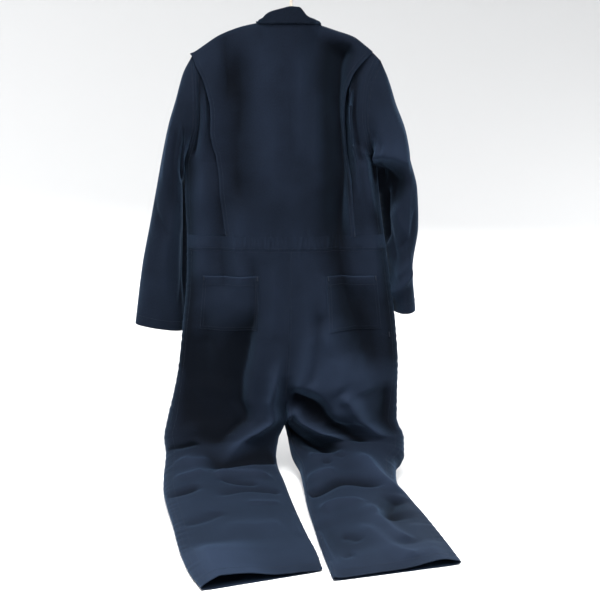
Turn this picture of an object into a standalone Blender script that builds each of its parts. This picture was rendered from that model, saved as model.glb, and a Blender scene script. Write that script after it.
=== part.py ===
"""Boiler suit on a hanger, seen from its back: metres, +Z up, back of the suit toward -Y.

The suit hangs from a hook at the origin. Its trunk and sleeves hang down, and its lower legs lie
forward, toward -Y, on a surface HANG_HEIGHT below the hook. Each piece that a maker would cut is a
wall of cloth through sections. Heights in the tables are above that surface, and "down" is the
distance down the suit from the neck, along the leg's middle once it bends forward.
"""

import copy
import math
from collections import namedtuple

import bmesh
import bpy
import numpy as np

# ---- Driving dimensions ----------------------------------------------------------------------
CLOTH = 0.002  # wall: twill with its seam turnings
SEAM_GAP = 0.0003
HANG_HEIGHT = 1.190  # from the surface up to the point that the hook hangs on

UNDERARM_DOWN = 0.325  # the armholes end here, and the side seams start
UNDERARM_HEIGHT = 0.775
CASING_TOP_DOWN = 0.500
CASING_FOOT_DOWN = 0.532
POCKET_TOP_DOWN = 0.596
POCKET_FOOT_DOWN = 0.729
FORK_DOWN = 0.960  # the crotch point
HEM_DOWN = {"left": 1.670, "right": 1.635}

ARMHOLE_DEPTH = 0.046  # half the armhole's width, front to back
ARMHOLE_HOLLOW = 1.25  # above 1, the panels fall away sooner from the armhole's rim
SHOULDER_FILL = 0.63  # below 1, the back and front swell sooner under the shoulder line
LEG_FILL = {"back": 0.85, "front": 0.65}  # below 1, a leg's section is fuller than an ellipse
SLEEVE_FILL = 0.9
NECK_HALF_WIDTH = 0.068
NECK_BACK_DEPTH = 0.046
NECK_FRONT_DEPTH = 0.056
NECK_BACK_HEIGHT = 1.094
NECK_FRONT_HEIGHT = 1.025
PLEAT_UNDERLAP = 0.24  # share of the half back that lies under the centre panel

UNDERLAP_DEPTHS = (1.0, 1.0, 1.0, 0.7, 0.25, 0.0, 0.0, 0.0)  # of its columns, from the inner edge out

ARMHOLE_ROWS = 9
TROUSER_FRONT_COLUMNS = 10
NECK_COLUMNS = 4  # of each panel, from its centre line to the neck point
SIGN = {"left": -1.0, "right": 1.0}

# ---- Sections of the trunk and legs ----------------------------------------------------------
# down; y and height of the section's middle; inner = x of the centre line or inseam; outer = x of
# the side seam; back and front = half depths; leg = 0 where the section is half of the trunk, 1
# where it is a closed leg; turn = degrees that the section is turned in plan.
Section = namedtuple("Section", "down y height inner outer back front leg turn")

SECTIONS = {
    "left": [
        Section(0.325, 0.000, 0.775, 0.001, -0.250, 0.060, 0.055, 0.0, 0),
        Section(0.400, 0.000, 0.700, 0.001, -0.250, 0.062, 0.056, 0.0, 0),
        Section(0.500, 0.000, 0.600, 0.001, -0.247, 0.058, 0.055, 0.0, 0),
        Section(0.600, 0.000, 0.500, 0.002, -0.249, 0.062, 0.057, 0.0, 0),
        Section(0.730, 0.000, 0.370, 0.000, -0.262, 0.068, 0.060, 0.0, 0),
        Section(0.830, -0.001, 0.270, -0.005, -0.274, 0.070, 0.060, 0.08, 0),
        Section(0.900, -0.002, 0.200, -0.010, -0.288, 0.068, 0.058, 0.45, 0),
        Section(0.960, -0.006, 0.140, -0.010, -0.303, 0.064, 0.056, 1.0, 0),
        Section(1.010, -0.020, 0.093, -0.028, -0.311, 0.060, 0.052, 1.0, 0),
        Section(1.060, -0.050, 0.058, -0.034, -0.304, 0.050, 0.046, 1.0, 2),
        Section(1.120, -0.100, 0.036, -0.028, -0.303, 0.040, 0.037, 1.0, 5),
        Section(1.190, -0.168, 0.024, -0.012, -0.298, 0.032, 0.027, 1.0, 9),
        Section(1.280, -0.258, 0.018, 0.004, -0.281, 0.024, 0.021, 1.0, 12),
        Section(1.380, -0.357, 0.014, 0.022, -0.258, 0.018, 0.017, 1.0, 13),
        Section(1.500, -0.477, 0.010, 0.046, -0.233, 0.013, 0.013, 1.0, 14),
        Section(1.600, -0.576, 0.008, 0.068, -0.206, 0.009, 0.011, 1.0, 18),
        Section(1.670, -0.645, 0.007, 0.078, -0.178, 0.007, 0.010, 1.0, 21),
    ],
    "right": [
        Section(0.325, 0.000, 0.775, 0.001, 0.206, 0.060, 0.055, 0.0, 0),
        Section(0.400, 0.000, 0.700, 0.001, 0.213, 0.062, 0.056, 0.0, 0),
        Section(0.500, 0.000, 0.600, 0.001, 0.226, 0.058, 0.055, 0.0, 0),
        Section(0.600, 0.000, 0.500, 0.002, 0.241, 0.062, 0.057, 0.0, 0),
        Section(0.730, 0.000, 0.370, 0.000, 0.258, 0.068, 0.060, 0.0, 0),
        Section(0.830, -0.001, 0.270, -0.005, 0.265, 0.070, 0.060, 0.08, 0),
        Section(0.900, -0.002, 0.200, -0.010, 0.264, 0.068, 0.058, 0.45, 0),
        Section(0.960, -0.006, 0.140, -0.010, 0.264, 0.064, 0.056, 1.0, 0),
        Section(1.010, -0.020, 0.093, -0.006, 0.281, 0.060, 0.052, 1.0, 0),
        Section(1.060, -0.050, 0.058, 0.004, 0.280, 0.056, 0.046, 1.0, 0),
        Section(1.120, -0.100, 0.038, 0.024, 0.256, 0.050, 0.038, 1.0, 1),
        Section(1.190, -0.168, 0.026, 0.032, 0.254, 0.037, 0.028, 1.0, 3),
        Section(1.280, -0.258, 0.018, 0.039, 0.279, 0.026, 0.021, 1.0, 6),
        Section(1.380, -0.357, 0.014, 0.051, 0.306, 0.019, 0.017, 1.0, 9),
        Section(1.500, -0.475, 0.010, 0.065, 0.334, 0.013, 0.013, 1.0, 13),
        Section(1.635, -0.606, 0.007, 0.084, 0.362, 0.007, 0.010, 1.0, 17),
    ],
}

# ---- Shoulders -------------------------------------------------------------------------------
# The shoulder line, from the neck out to the sleeve: distance from the centre and height.
ShoulderPoint = namedtuple("ShoulderPoint", "out height")

SHOULDER = {
    "left": [
        ShoulderPoint(0.068, 1.094),
        ShoulderPoint(0.110, 1.085),
        ShoulderPoint(0.161, 1.066),
        ShoulderPoint(0.197, 1.043),
        ShoulderPoint(0.226, 1.020),
    ],
    "right": [
        ShoulderPoint(0.068, 1.089),
        ShoulderPoint(0.110, 1.075),
        ShoulderPoint(0.148, 1.062),
        ShoulderPoint(0.178, 1.040),
        ShoulderPoint(0.212, 1.008),
    ],
}

# The armhole seam, from the shoulder down to the underarm: share of the way down, and distance out.
ArmholePoint = namedtuple("ArmholePoint", "share out")

ARMHOLE = {
    "left": [
        ArmholePoint(0.0, 0.226),
        ArmholePoint(0.35, 0.221),
        ArmholePoint(0.62, 0.222),
        ArmholePoint(0.82, 0.234),
        ArmholePoint(1.0, 0.250),
    ],
    "right": [
        ArmholePoint(0.0, 0.212),
        ArmholePoint(0.30, 0.184),
        ArmholePoint(0.55, 0.180),
        ArmholePoint(0.80, 0.190),
        ArmholePoint(1.0, 0.206),
    ],
}

# The free edge of the centre back panel: down, its share of the half back's width, and how far the
# cloth under the edge stands back from it.
PleatPoint = namedtuple("PleatPoint", "down share recess")

PLEAT = {
    "left": [
        PleatPoint(0.000, 0.955, 0.000),
        PleatPoint(0.036, 0.930, 0.000),
        PleatPoint(0.072, 0.900, 0.003),
        PleatPoint(0.130, 0.820, 0.005),
        PleatPoint(0.220, 0.750, 0.004),
        PleatPoint(0.325, 0.645, 0.003),
        PleatPoint(0.400, 0.625, 0.002),
        PleatPoint(0.500, 0.585, 0.000),
    ],
    "right": [
        PleatPoint(0.000, 0.900, 0.000),
        PleatPoint(0.036, 0.855, 0.000),
        PleatPoint(0.072, 0.800, 0.007),
        PleatPoint(0.130, 0.715, 0.010),
        PleatPoint(0.220, 0.700, 0.005),
        PleatPoint(0.325, 0.670, 0.003),
        PleatPoint(0.400, 0.660, 0.002),
        PleatPoint(0.500, 0.640, 0.000),
    ],
}

# ---- Sections of the sleeves -----------------------------------------------------------------
# down the sleeve; the outer line and the inner line that the section spans; thick = half of the
# section's other axis.
SleeveSection = namedtuple("SleeveSection", "down x_out y_out z_out x_in y_in z_in thick")

SLEEVES = {
    "left": [
        SleeveSection(0.00, -0.226, 0.000, 1.020, -0.250, 0.000, 0.775, 0.046),
        SleeveSection(0.06, -0.249, 0.000, 0.978, -0.256, 0.001, 0.764, 0.052),
        SleeveSection(0.12, -0.265, 0.000, 0.922, -0.259, 0.002, 0.748, 0.057),
        SleeveSection(0.18, -0.284, 0.001, 0.862, -0.260, 0.002, 0.722, 0.060),
        SleeveSection(0.25, -0.301, 0.002, 0.790, -0.260, 0.003, 0.684, 0.060),
        SleeveSection(0.33, -0.317, 0.003, 0.712, -0.260, 0.004, 0.640, 0.057),
        SleeveSection(0.42, -0.335, 0.004, 0.625, -0.260, 0.006, 0.575, 0.052),
        SleeveSection(0.52, -0.357, 0.006, 0.520, -0.262, 0.008, 0.490, 0.045),
        SleeveSection(0.66, -0.378, 0.008, 0.378, -0.271, 0.010, 0.356, 0.034),
    ],
    "right": [
        SleeveSection(0.00, 0.212, 0.000, 1.008, 0.206, 0.000, 0.775, 0.046),
        SleeveSection(0.06, 0.231, 0.000, 0.966, 0.213, 0.002, 0.764, 0.052),
        SleeveSection(0.12, 0.248, 0.000, 0.912, 0.216, 0.004, 0.746, 0.056),
        SleeveSection(0.18, 0.269, 0.000, 0.855, 0.219, 0.006, 0.720, 0.058),
        SleeveSection(0.25, 0.284, 0.000, 0.785, 0.223, 0.010, 0.682, 0.058),
        SleeveSection(0.33, 0.304, 0.000, 0.705, 0.229, 0.016, 0.634, 0.056),
        SleeveSection(0.42, 0.308, 0.002, 0.620, 0.238, 0.022, 0.575, 0.053),
        SleeveSection(0.52, 0.297, 0.006, 0.520, 0.252, 0.026, 0.500, 0.054),
        SleeveSection(0.62, 0.306, 0.012, 0.412, 0.268, 0.030, 0.404, 0.056),
    ],
}
SLEEVE_ROUND = 0.40  # a sleeve's measure round, for the widths of its folds
SLEEVE_FOLD_FADE = 0.08  # down, by which folds fade out at the armhole seam
CAP_FADE = 0.20  # down the sleeve, by which its sections no longer follow the armhole

# ---- Folds -----------------------------------------------------------------------------------
# A soft ridge, or a trough where its height is below 0. across is 0 at the centre line or inseam
# and 1 at the side seam; on a sleeve it is 0 at the outer line and 0.5 at the inner line, back
# first. The bow is how far the line's middle swings outward.
Fold = namedtuple("Fold", "across0 down0 across1 down1 bow width height")

FOLD_OVERRUN = 0.3  # share of its length, by which a fold runs on past each end
FOLD_EASE = 0.5  # share of its length, over which it rises to its height
FOLD_HOLD = 2.5  # how sharply folds are held flat at a side seam
STAND_FROM = 0.95  # down, where folds turn from standing out backward to standing up
STAND_OVER = 0.25
FOLD_FADE = 0.14  # share of the panel's width, by which folds fade out at the centre line
FOLD_TOP_FADE = 0.07  # down, by which folds fade out at the shoulder seam

BACK_FOLDS = {
    "left": [
        Fold(0.62, 0.06, 0.60, 0.26, 0.000, 0.020, -0.005),
        Fold(0.92, 0.12, 0.86, 0.33, 0.000, 0.012, -0.014),
        Fold(0.80, 0.14, 0.76, 0.36, 0.000, 0.014, 0.005),
        Fold(0.02, 0.80, 0.22, 1.06, 0.010, 0.020, 0.013),
        Fold(0.22, 0.78, 0.50, 1.08, 0.010, 0.026, -0.013),
        Fold(0.72, 0.82, 0.86, 1.02, 0.000, 0.030, 0.008),
        Fold(0.10, 1.070, 0.62, 1.095, 0.000, 0.016, -0.014),
        Fold(0.55, 1.115, 0.95, 1.070, 0.000, 0.018, 0.012),
        Fold(0.50, 1.165, 0.80, 1.150, 0.000, 0.012, -0.010),
        Fold(0.10, 1.200, 0.80, 1.215, 0.000, 0.020, 0.007),
        Fold(0.30, 1.330, 0.90, 1.300, 0.000, 0.022, -0.004),
        Fold(0.88, 1.560, 0.88, 1.670, 0.000, 0.040, 0.007),
    ],
    "right": [
        Fold(0.62, 0.07, 0.42, 0.24, 0.000, 0.026, -0.012),
        Fold(0.42, 0.22, 0.40, 0.50, 0.000, 0.028, -0.016),
        Fold(0.40, 0.50, 0.55, 0.86, 0.000, 0.034, -0.012),
        Fold(0.15, 0.60, 0.05, 0.86, 0.000, 0.030, 0.006),
        Fold(0.10, 0.90, 0.50, 0.98, 0.000, 0.018, -0.010),
        Fold(0.06, 0.99, 0.50, 1.03, 0.000, 0.020, 0.013),
        Fold(0.00, 1.01, 0.45, 1.08, 0.000, 0.018, -0.016),
        Fold(0.68, 0.92, 0.95, 1.06, 0.008, 0.022, 0.014),
        Fold(0.62, 0.95, 0.80, 1.06, 0.000, 0.020, -0.014),
        Fold(0.35, 1.140, 0.98, 1.120, 0.000, 0.024, 0.018),
        Fold(0.20, 1.185, 0.95, 1.175, 0.000, 0.016, -0.012),
        Fold(0.15, 1.260, 0.90, 1.320, 0.000, 0.024, 0.010),
        Fold(0.30, 1.340, 0.70, 1.400, 0.000, 0.022, -0.004),
    ],
}
FRONT_FOLDS = {
    "left": [
        Fold(0.55, 0.20, 0.42, 0.62, 0.010, 0.030, -0.012),
        Fold(0.30, 0.30, 0.34, 0.80, 0.000, 0.030, 0.008),
        Fold(0.20, 0.86, 0.80, 0.98, 0.000, 0.024, -0.010),
    ],
    "right": [
        Fold(0.50, 0.16, 0.46, 0.60, -0.010, 0.030, -0.012),
        Fold(0.25, 0.34, 0.30, 0.78, 0.000, 0.028, 0.007),
        Fold(0.25, 0.88, 0.85, 0.96, 0.000, 0.024, -0.010),
    ],
}
SLEEVE_FOLDS = {
    "left": [
        Fold(0.10, 0.10, 0.16, 0.30, 0.000, 0.020, 0.006),
        Fold(0.26, 0.10, 0.36, 0.22, 0.000, 0.016, -0.010),
        Fold(0.08, 0.34, 0.26, 0.42, 0.000, 0.018, -0.005),
        Fold(0.70, 0.20, 0.86, 0.40, 0.000, 0.020, -0.008),
    ],
    "right": [
        Fold(0.06, 0.170, 0.30, 0.150, 0.000, 0.020, 0.012),
        Fold(0.08, 0.225, 0.28, 0.215, 0.000, 0.024, -0.020),
        Fold(0.32, 0.160, 0.24, 0.360, 0.000, 0.014, 0.010),
        Fold(0.20, 0.400, 0.08, 0.500, 0.000, 0.016, -0.007),
        Fold(0.62, 0.330, 0.90, 0.380, 0.000, 0.020, -0.008),
    ],
}

# ---- Collar, hanger --------------------------------------------------------------------------
# The collar round the neck: turn in degrees, 0 at the nape and plus toward the right; rise = its
# fold above the neck seam; lean = the fold's way out; the turned down layer ends over the panels,
# spread = that place's share beyond the neck's own, and fall = its distance down.
CollarPoint = namedtuple("CollarPoint", "turn rise lean spread fall")

COLLAR = [
    CollarPoint(-169, 0.016, 0.008, 0.030, 0.046),
    CollarPoint(-130, 0.020, 0.006, 0.060, 0.030),
    CollarPoint(-112, 0.022, 0.003, 0.080, 0.016),
    CollarPoint(-90, 0.009, 0.008, 0.085, 0.000),
    CollarPoint(-60, 0.012, 0.006, 0.030, 0.006),
    CollarPoint(-30, 0.026, 0.003, 0.000, 0.007),
    CollarPoint(0, 0.033, 0.001, 0.000, 0.007),
    CollarPoint(18, 0.034, 0.001, 0.000, 0.007),
    CollarPoint(34, 0.015, 0.003, 0.010, 0.007),
    CollarPoint(60, 0.008, 0.005, 0.015, 0.006),
    CollarPoint(90, 0.006, 0.006, 0.035, 0.000),
    CollarPoint(112, 0.020, 0.003, 0.060, 0.016),
    CollarPoint(130, 0.020, 0.006, 0.060, 0.030),
    CollarPoint(169, 0.016, 0.008, 0.030, 0.046),
]
COLLAR_HALF_COLUMNS = 15  # from the nape to each end, two to each column of the panels' necks
COLLAR_SPACE = 0.0016  # between the collar's two layers
COLLAR_ROUND = 0.0035  # height of its rounded fold
COLLAR_LIFT = 0.0034  # of the turned down layer's outer face over the panels

PLACKET_HALF_WIDTH = 0.017
PLACKET_FOOT_DOWN = 0.80
SNAP_RADIUS = 0.006
SNAP_HEIGHT = 0.0022
SNAP_DOWNS = (0.06, 0.20, 0.34, 0.48, 0.62, 0.76)
POCKET_CLOTH = 0.0015
GATHERS_EACH_SIDE = 8  # that the elastic draws in the casing
GATHER_HEIGHT = 0.0022
ELASTIC_SHARE = 0.64  # of the casing's half width, from the centre out

HANGER_REACH = 0.198
HANGER_RADIUS = 0.0055
HANGER_CLEARANCE = 0.0084  # from the shoulder seam's outer face down to the arm
HANGER_MIDDLE_HEIGHT = 1.088
HOOK_RADIUS = 0.0035
HOOK_BEND = 0.020
HOOK_X = 0.004
HOOK_NECK = 0.032  # from the bend's centre down to where the stem is straight
HOOK_TURNS = (-60, 205)  # degrees of the bend, from the stem round to its tip
HOOK_STEPS = 14
HANGER_STEPS = 19

COLOURS = {
    "twill": ((0.027, 0.041, 0.074), 0.85),
    "pale_plastic": ((0.72, 0.66, 0.58), 0.45),
    "snap_metal": ((0.30, 0.31, 0.33), 0.35),
}


# ---- Reading the tables ----------------------------------------------------------------------
def read(table, column, at):
    """The column's value at a place along the table, on a smooth curve through its rows."""
    where = np.array([row[0] for row in table])
    what = np.array([getattr(row, column) for row in table])
    steps = np.diff(what) / np.diff(where)
    slopes = np.concatenate([steps[:1], np.zeros(len(steps) - 1), steps[-1:]])
    same_way = steps[:-1] * steps[1:] > 0
    total = np.where(same_way, steps[:-1] + steps[1:], 1.0)
    slopes[1:-1] = np.where(same_way, 2 * steps[:-1] * steps[1:] / total, 0.0)
    at = np.clip(at, where[0], where[-1])
    k = np.clip(np.searchsorted(where, at) - 1, 0, len(where) - 2)
    gap = where[k + 1] - where[k]
    f = (at - where[k]) / gap
    rise = what[k] * (1 + 2 * f) * (1 - f) ** 2 + what[k + 1] * (3 - 2 * f) * f**2
    return float(rise + gap * (slopes[k] * f * (1 - f) ** 2 - slopes[k + 1] * (1 - f) * f**2))


def fold_height(folds, across, down, width_at):
    """The sum of the folds at a place on a panel, as a height out of it."""
    height = 0.0
    for fold in folds:
        run = np.array([(fold.across1 - fold.across0) * width_at, fold.down1 - fold.down0])
        here = np.array([(across - fold.across0) * width_at, down - fold.down0])
        length = float(np.hypot(*run))
        along = float(here @ run) / length**2
        if not -FOLD_OVERRUN < along < 1 + FOLD_OVERRUN:
            continue
        sideways = float(here[0] * run[1] - here[1] * run[0]) / length
        swing = fold.bow * 4 * along * (1 - along)
        start = min(1.0, (along + FOLD_OVERRUN) / FOLD_EASE)
        ends = start * min(1.0, (1 + FOLD_OVERRUN - along) / FOLD_EASE)
        ends = ends * ends * (3 - 2 * ends)
        height += fold.height * ends * math.exp(-(((sideways - swing) / fold.width) ** 2))
    return height


# ---- The surfaces that the panels are cut from -------------------------------------------------
def shoulder_height(side, out, face):
    """The height of the panel's top edge, at a distance from the centre line."""
    if out >= NECK_HALF_WIDTH:
        return read(SHOULDER[side], "height", out)
    arc = math.sqrt(1 - (out / NECK_HALF_WIDTH) ** 2)
    low = NECK_BACK_HEIGHT if face == "back" else NECK_FRONT_HEIGHT
    side_height = SHOULDER[side][0].height
    middle = (SHOULDER["left"][0].height + SHOULDER["right"][0].height) / 2
    side_height = middle + (side_height - middle) * (1 - arc)
    return side_height + (low - side_height) * arc


def shoulder_point(side, face, share, down):
    """A point above the underarm. share is 0 at the centre line and 1 at the armhole."""
    v = down / UNDERARM_DOWN
    drop = (1 - math.cos(math.pi * v)) / 2
    top_out = SHOULDER[side][-1].out * share
    centre = SECTIONS[side][0].inner * v
    out = read(ARMHOLE[side], "out", drop) * share
    top = shoulder_height(side, top_out, face)
    height = top + (UNDERARM_HEIGHT - top) * drop
    across = math.sqrt(max(0.0, 1 - share**2))
    neck_depth = NECK_BACK_DEPTH if face == "back" else NECK_FRONT_DEPTH
    neck = neck_depth * math.sqrt(max(0.0, 1 - (top_out / NECK_HALF_WIDTH) ** 2))
    full = getattr(SECTIONS[side][0], face) * across
    depth = neck + (full - neck) * math.sin(math.pi * v / 2) ** SHOULDER_FILL
    depth += ARMHOLE_DEPTH * math.sin(math.pi * v) * (1 - across) ** ARMHOLE_HOLLOW
    forward = -1 if face == "back" else 1
    x = SIGN[side] * out + centre * (1 - share)
    return np.array([x, forward * depth, height])


def section_point(side, face, share, down):
    """A point below the underarm, on the half section of the trunk or on the leg's section."""
    rows = SECTIONS[side]
    leg = read(rows, "leg", down)
    inner = read(rows, "inner", down)
    outer = read(rows, "outer", down)
    middle = np.array([(inner + outer) / 2, read(rows, "y", down), read(rows, "height", down)])
    step = 0.004
    slope_y = read(rows, "y", down + step) - read(rows, "y", down - step)
    slope_z = read(rows, "height", down + step) - read(rows, "height", down - step)
    steep = math.hypot(slope_y, slope_z)
    to_back = np.array([0.0, slope_z / steep, -slope_y / steep])
    turn = math.radians(read(rows, "turn", down))
    across = np.array([math.cos(turn), math.sin(turn), 0.0])
    depth = read(rows, face, down)
    rest = math.sqrt(max(0.0, 1 - share**2))
    along = (1 - leg) * share + leg * share**2
    bulge = (1 - leg) * rest + leg * (2 * share * rest) ** LEG_FILL[face]
    forward = 1 if face == "back" else -1
    half = (outer - inner) / 2
    return middle + across * half * (2 * along - 1) + to_back * forward * depth * bulge


def body_point(side, face, share, down):
    """A point of the trunk or leg, with its folds, no lower than the surface it lies on."""
    under = down >= UNDERARM_DOWN
    place = section_point if under else shoulder_point
    point = place(side, face, share, down)
    folds = (BACK_FOLDS if face == "back" else FRONT_FOLDS)[side]
    width_at = abs(read(SECTIONS[side], "outer", down) - read(SECTIONS[side], "inner", down))
    height = fold_height(folds, share, down, width_at)
    if height:
        rest = math.sqrt(max(0.0, 1 - share**2))
        hold = min(1.0, FOLD_HOLD * rest) * min(1.0, share / FOLD_FADE)
        hold *= min(1.0, down / FOLD_TOP_FADE)
        lean = min(1.0, max(0.0, (down - STAND_FROM) / STAND_OVER))
        if face == "back":
            point = point + height * hold * np.array([0.0, lean - 1.0, lean])
        else:
            point = point + height * hold * np.array([0.0, 1.0 - lean, 0.0])
    point[2] = max(point[2], 0.0)
    return point


def sleeve_ellipse(side, round_turn, down):
    rows = SLEEVES[side]
    outer = np.array([read(rows, c, down) for c in ("x_out", "y_out", "z_out")])
    inner = np.array([read(rows, c, down) for c in ("x_in", "y_in", "z_in")])
    thick = read(rows, "thick", down)
    spread = math.sin(round_turn)
    to_back = np.array([0.0, -thick * math.copysign(abs(spread) ** SLEEVE_FILL, spread), 0.0])
    return (outer + inner) / 2 + (outer - inner) / 2 * math.cos(round_turn) + to_back


def armhole_point(side, round_turn):
    """The armhole seam: turn 0 at the shoulder, pi at the underarm, the back half first."""
    face = "back" if round_turn <= math.pi else "front"
    share_down = round_turn / math.pi if face == "back" else 2 - round_turn / math.pi
    return shoulder_point(side, face, 1.0, share_down * UNDERARM_DOWN)


def sleeve_point(side, around, down):
    round_turn = 2 * math.pi * around
    point = sleeve_ellipse(side, round_turn, down)
    fade = max(0.0, 1 - down / CAP_FADE) ** 2
    seam = armhole_point(side, round_turn) - sleeve_ellipse(side, round_turn, 0.0)
    point = point + fade * seam
    height = fold_height(SLEEVE_FOLDS[side], around, down, SLEEVE_ROUND)
    if height:
        middle = sleeve_ellipse(side, round_turn, down) + sleeve_ellipse(side, round_turn + math.pi, down)
        out = point - middle / 2
        out[2] = 0.0
        point = point + height * min(1.0, down / SLEEVE_FOLD_FADE) * out / np.linalg.norm(out)
    return point


# ---- Grids, walls and objects ------------------------------------------------------------------
class Grid:
    """Rows of points on a panel's outer face, with the way out at each point."""

    def __init__(self, rows, outward, loop=False):
        self.points = np.array(rows)
        self.loop = loop
        self.normals = self._normals(outward)

    def part(self, rows, columns):
        """A stretch of the panel, for a piece that lies on it."""
        piece = copy.copy(self)
        piece.points = self.points[rows][:, columns]
        piece.normals = self.normals[rows][:, columns]
        return piece

    def _normals(self, outward):
        p = self.points
        down = np.gradient(p, axis=0)
        if self.loop:
            along = (np.roll(p, -1, axis=1) - np.roll(p, 1, axis=1)) / 2
        else:
            along = np.gradient(p, axis=1)
        n = np.cross(along, down) * outward
        n[..., 1] *= np.abs(p[..., 1]) > 1e-7  # shoulder and side seams face straight out
        return n / np.maximum(np.linalg.norm(n, axis=2, keepdims=True), 1e-9)


def share_normals(grids):
    """Gives points that two panels have in common one way out, so that their rims lie face to face."""
    totals = {}
    for grid in grids:
        for point, normal in zip(grid.points.reshape(-1, 3), grid.normals.reshape(-1, 3)):
            key = tuple(np.round(point, 5))
            totals[key] = totals.get(key, 0) + normal
    for grid in grids:
        flat = grid.normals.reshape(-1, 3)
        for i, point in enumerate(grid.points.reshape(-1, 3)):
            total = totals[tuple(np.round(point, 5))]
            flat[i] = total / np.linalg.norm(total)


def drawn_in(points, loop):
    """The points with each free edge drawn in, by half a seam gap, or a whole one on a tube."""
    points = points.copy()
    gap = SEAM_GAP if loop else SEAM_GAP / 2
    edges = [(np.s_[0, :], np.s_[1, :]), (np.s_[-1, :], np.s_[-2, :])]
    if not loop:
        edges += [(np.s_[:, 0], np.s_[:, 1]), (np.s_[:, -1], np.s_[:, -2])]
    for edge, inside in edges:
        way = points[inside] - points[edge]
        points[edge] += way / np.linalg.norm(way, axis=1, keepdims=True) * gap
    return points


def material(name):
    if name not in bpy.data.materials:
        colour, rough = COLOURS[name]
        made = bpy.data.materials.new(name)
        made.use_nodes = True
        shader = made.node_tree.nodes["Principled BSDF"]
        shader.inputs["Base Color"].default_value = (*colour, 1.0)
        shader.inputs["Roughness"].default_value = rough
        shader.inputs["Metallic"].default_value = 1.0 if name == "snap_metal" else 0.0
    return bpy.data.materials[name]


def add_object(name, mesh, slot):
    obj = bpy.data.objects.new(name, mesh)
    mesh.materials.append(material(slot))
    mesh.shade_smooth()
    mesh.set_sharp_from_angle(angle=math.radians(40))
    bpy.data.collections["boiler_suit"].objects.link(obj)
    obj.location = (0.0, 0.0, -HANG_HEIGHT)
    return obj


def wall(name, outer, inner, loop=False, slot="twill"):
    """A closed wall between two grids of points, the first on its outer side."""
    rows, columns = outer.shape[:2]
    mesh = bpy.data.meshes.new(name)
    shape = bmesh.new()
    first, second = ([[shape.verts.new(p) for p in row] for row in grid] for grid in (outer, inner))
    wide = columns if loop else columns - 1
    for r in range(rows - 1):
        for c in range(wide):
            d = (c + 1) % columns
            falling = np.linalg.norm(outer[r, c] - outer[r + 1, d])
            rising = np.linalg.norm(outer[r, d] - outer[r + 1, c])
            for skin in (first, second):
                corners = [skin[r][c], skin[r][d], skin[r + 1][d], skin[r + 1][c]]
                if rising < falling:
                    corners = corners[1:] + corners[:1]
                shape.faces.new(corners[:3])
                shape.faces.new(corners[2:] + corners[:1])
    for c in range(wide):
        d = (c + 1) % columns
        for r in (0, rows - 1):
            shape.faces.new((first[r][c], first[r][d], second[r][d], second[r][c]))
    if not loop:
        for r in range(rows - 1):
            for c in (0, columns - 1):
                shape.faces.new((first[r][c], first[r + 1][c], second[r + 1][c], second[r][c]))
    bmesh.ops.recalc_face_normals(shape, faces=shape.faces)
    shape.to_mesh(mesh)
    shape.free()
    return add_object(name, mesh, slot)


PLACKET_RAISED = CLOTH + 3 * SEAM_GAP


def cloth(name, grid, raised=0.0, thickness=CLOTH):
    """A wall of cloth whose outer face is the grid, moved out by raised (a number or a grid)."""
    points = drawn_in(grid.points, grid.loop)
    lift = np.broadcast_to(np.asarray(raised, float), points.shape[:2])[..., None]
    outer = points + grid.normals * lift
    inner = outer - grid.normals * thickness
    outer[..., 2] = np.maximum(outer[..., 2], 0.0)
    return wall(name, outer, inner, grid.loop)


# ---- Rows and columns ---------------------------------------------------------------------------
def arc_shares(knots, counts):
    """Shares between the knots, evenly spaced round the section's curve."""
    turns = np.arcsin(np.clip(knots, 0.0, 1.0))
    runs = [np.linspace(a, b, n + 1)[1:] for a, b, n in zip(turns, turns[1:], counts)]
    return np.sin(np.concatenate([turns[:1], *runs]))


def down_rows(side):
    """Where every panel of one side has its rows, so that seams match."""
    armhole = np.linspace(0.0, UNDERARM_DOWN, ARMHOLE_ROWS + 1)
    marks = [UNDERARM_DOWN, CASING_TOP_DOWN, CASING_FOOT_DOWN, POCKET_TOP_DOWN, POCKET_FOOT_DOWN]
    marks += [0.80, FORK_DOWN, HEM_DOWN[side]]
    counts = [5, 1, 2, 4, 2, 5, 17]
    runs = [np.linspace(a, b, n + 1)[1:] for a, b, n in zip(marks, marks[1:], counts)]
    return np.concatenate([armhole, *runs])


def rows_between(side, start, end):
    rows = down_rows(side)
    return rows[(rows > start - 1e-6) & (rows < end + 1e-6)]


def body_grid(side, face, start, end, shares_at):
    rows = [
        [body_point(side, face, share, down) for share in shares_at(down)]
        for down in rows_between(side, start, end)
    ]
    return Grid(rows, SIGN[side] * (1 if face == "front" else -1))


def neck_share(side):
    return NECK_HALF_WIDTH / SHOULDER[side][-1].out


def from_neck(neck, knots, counts):
    """Columns at even turns round the neck, then evenly round the section between the knots."""
    turns = np.linspace(0.0, math.pi / 2, NECK_COLUMNS + 1)[:-1]
    return np.concatenate([neck * np.sin(turns), arc_shares([neck, *knots], counts)])


def front_shares(side):
    shares = from_neck(neck_share(side), [1.0], [6])
    return lambda _down: shares


def trouser_front_shares(_down):
    return arc_shares([0.0, 1.0], [TROUSER_FRONT_COLUMNS])


POCKET_EDGES = {"left": (0.295, 0.835), "right": (0.360, 0.860)}
POCKET_COLUMNS = slice(3, 8)


def trouser_shares(side):
    shares = arc_shares([0.0, *POCKET_EDGES[side], 1.0], [3, 4, 3])
    return lambda _down: shares


def upper_shares(side, down):
    """Columns of the upper back: the neck point, the underlap's edge and the pleat's edge are knots."""
    edge = read(PLEAT[side], "share", down)
    under = edge - PLEAT_UNDERLAP
    return from_neck(min(neck_share(side), 0.6 * under), [under, edge, 1.0], [2, 2, 5])


UNDER_COLUMN = NECK_COLUMNS + 2
EDGE_COLUMN = UNDER_COLUMN + 2


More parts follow.
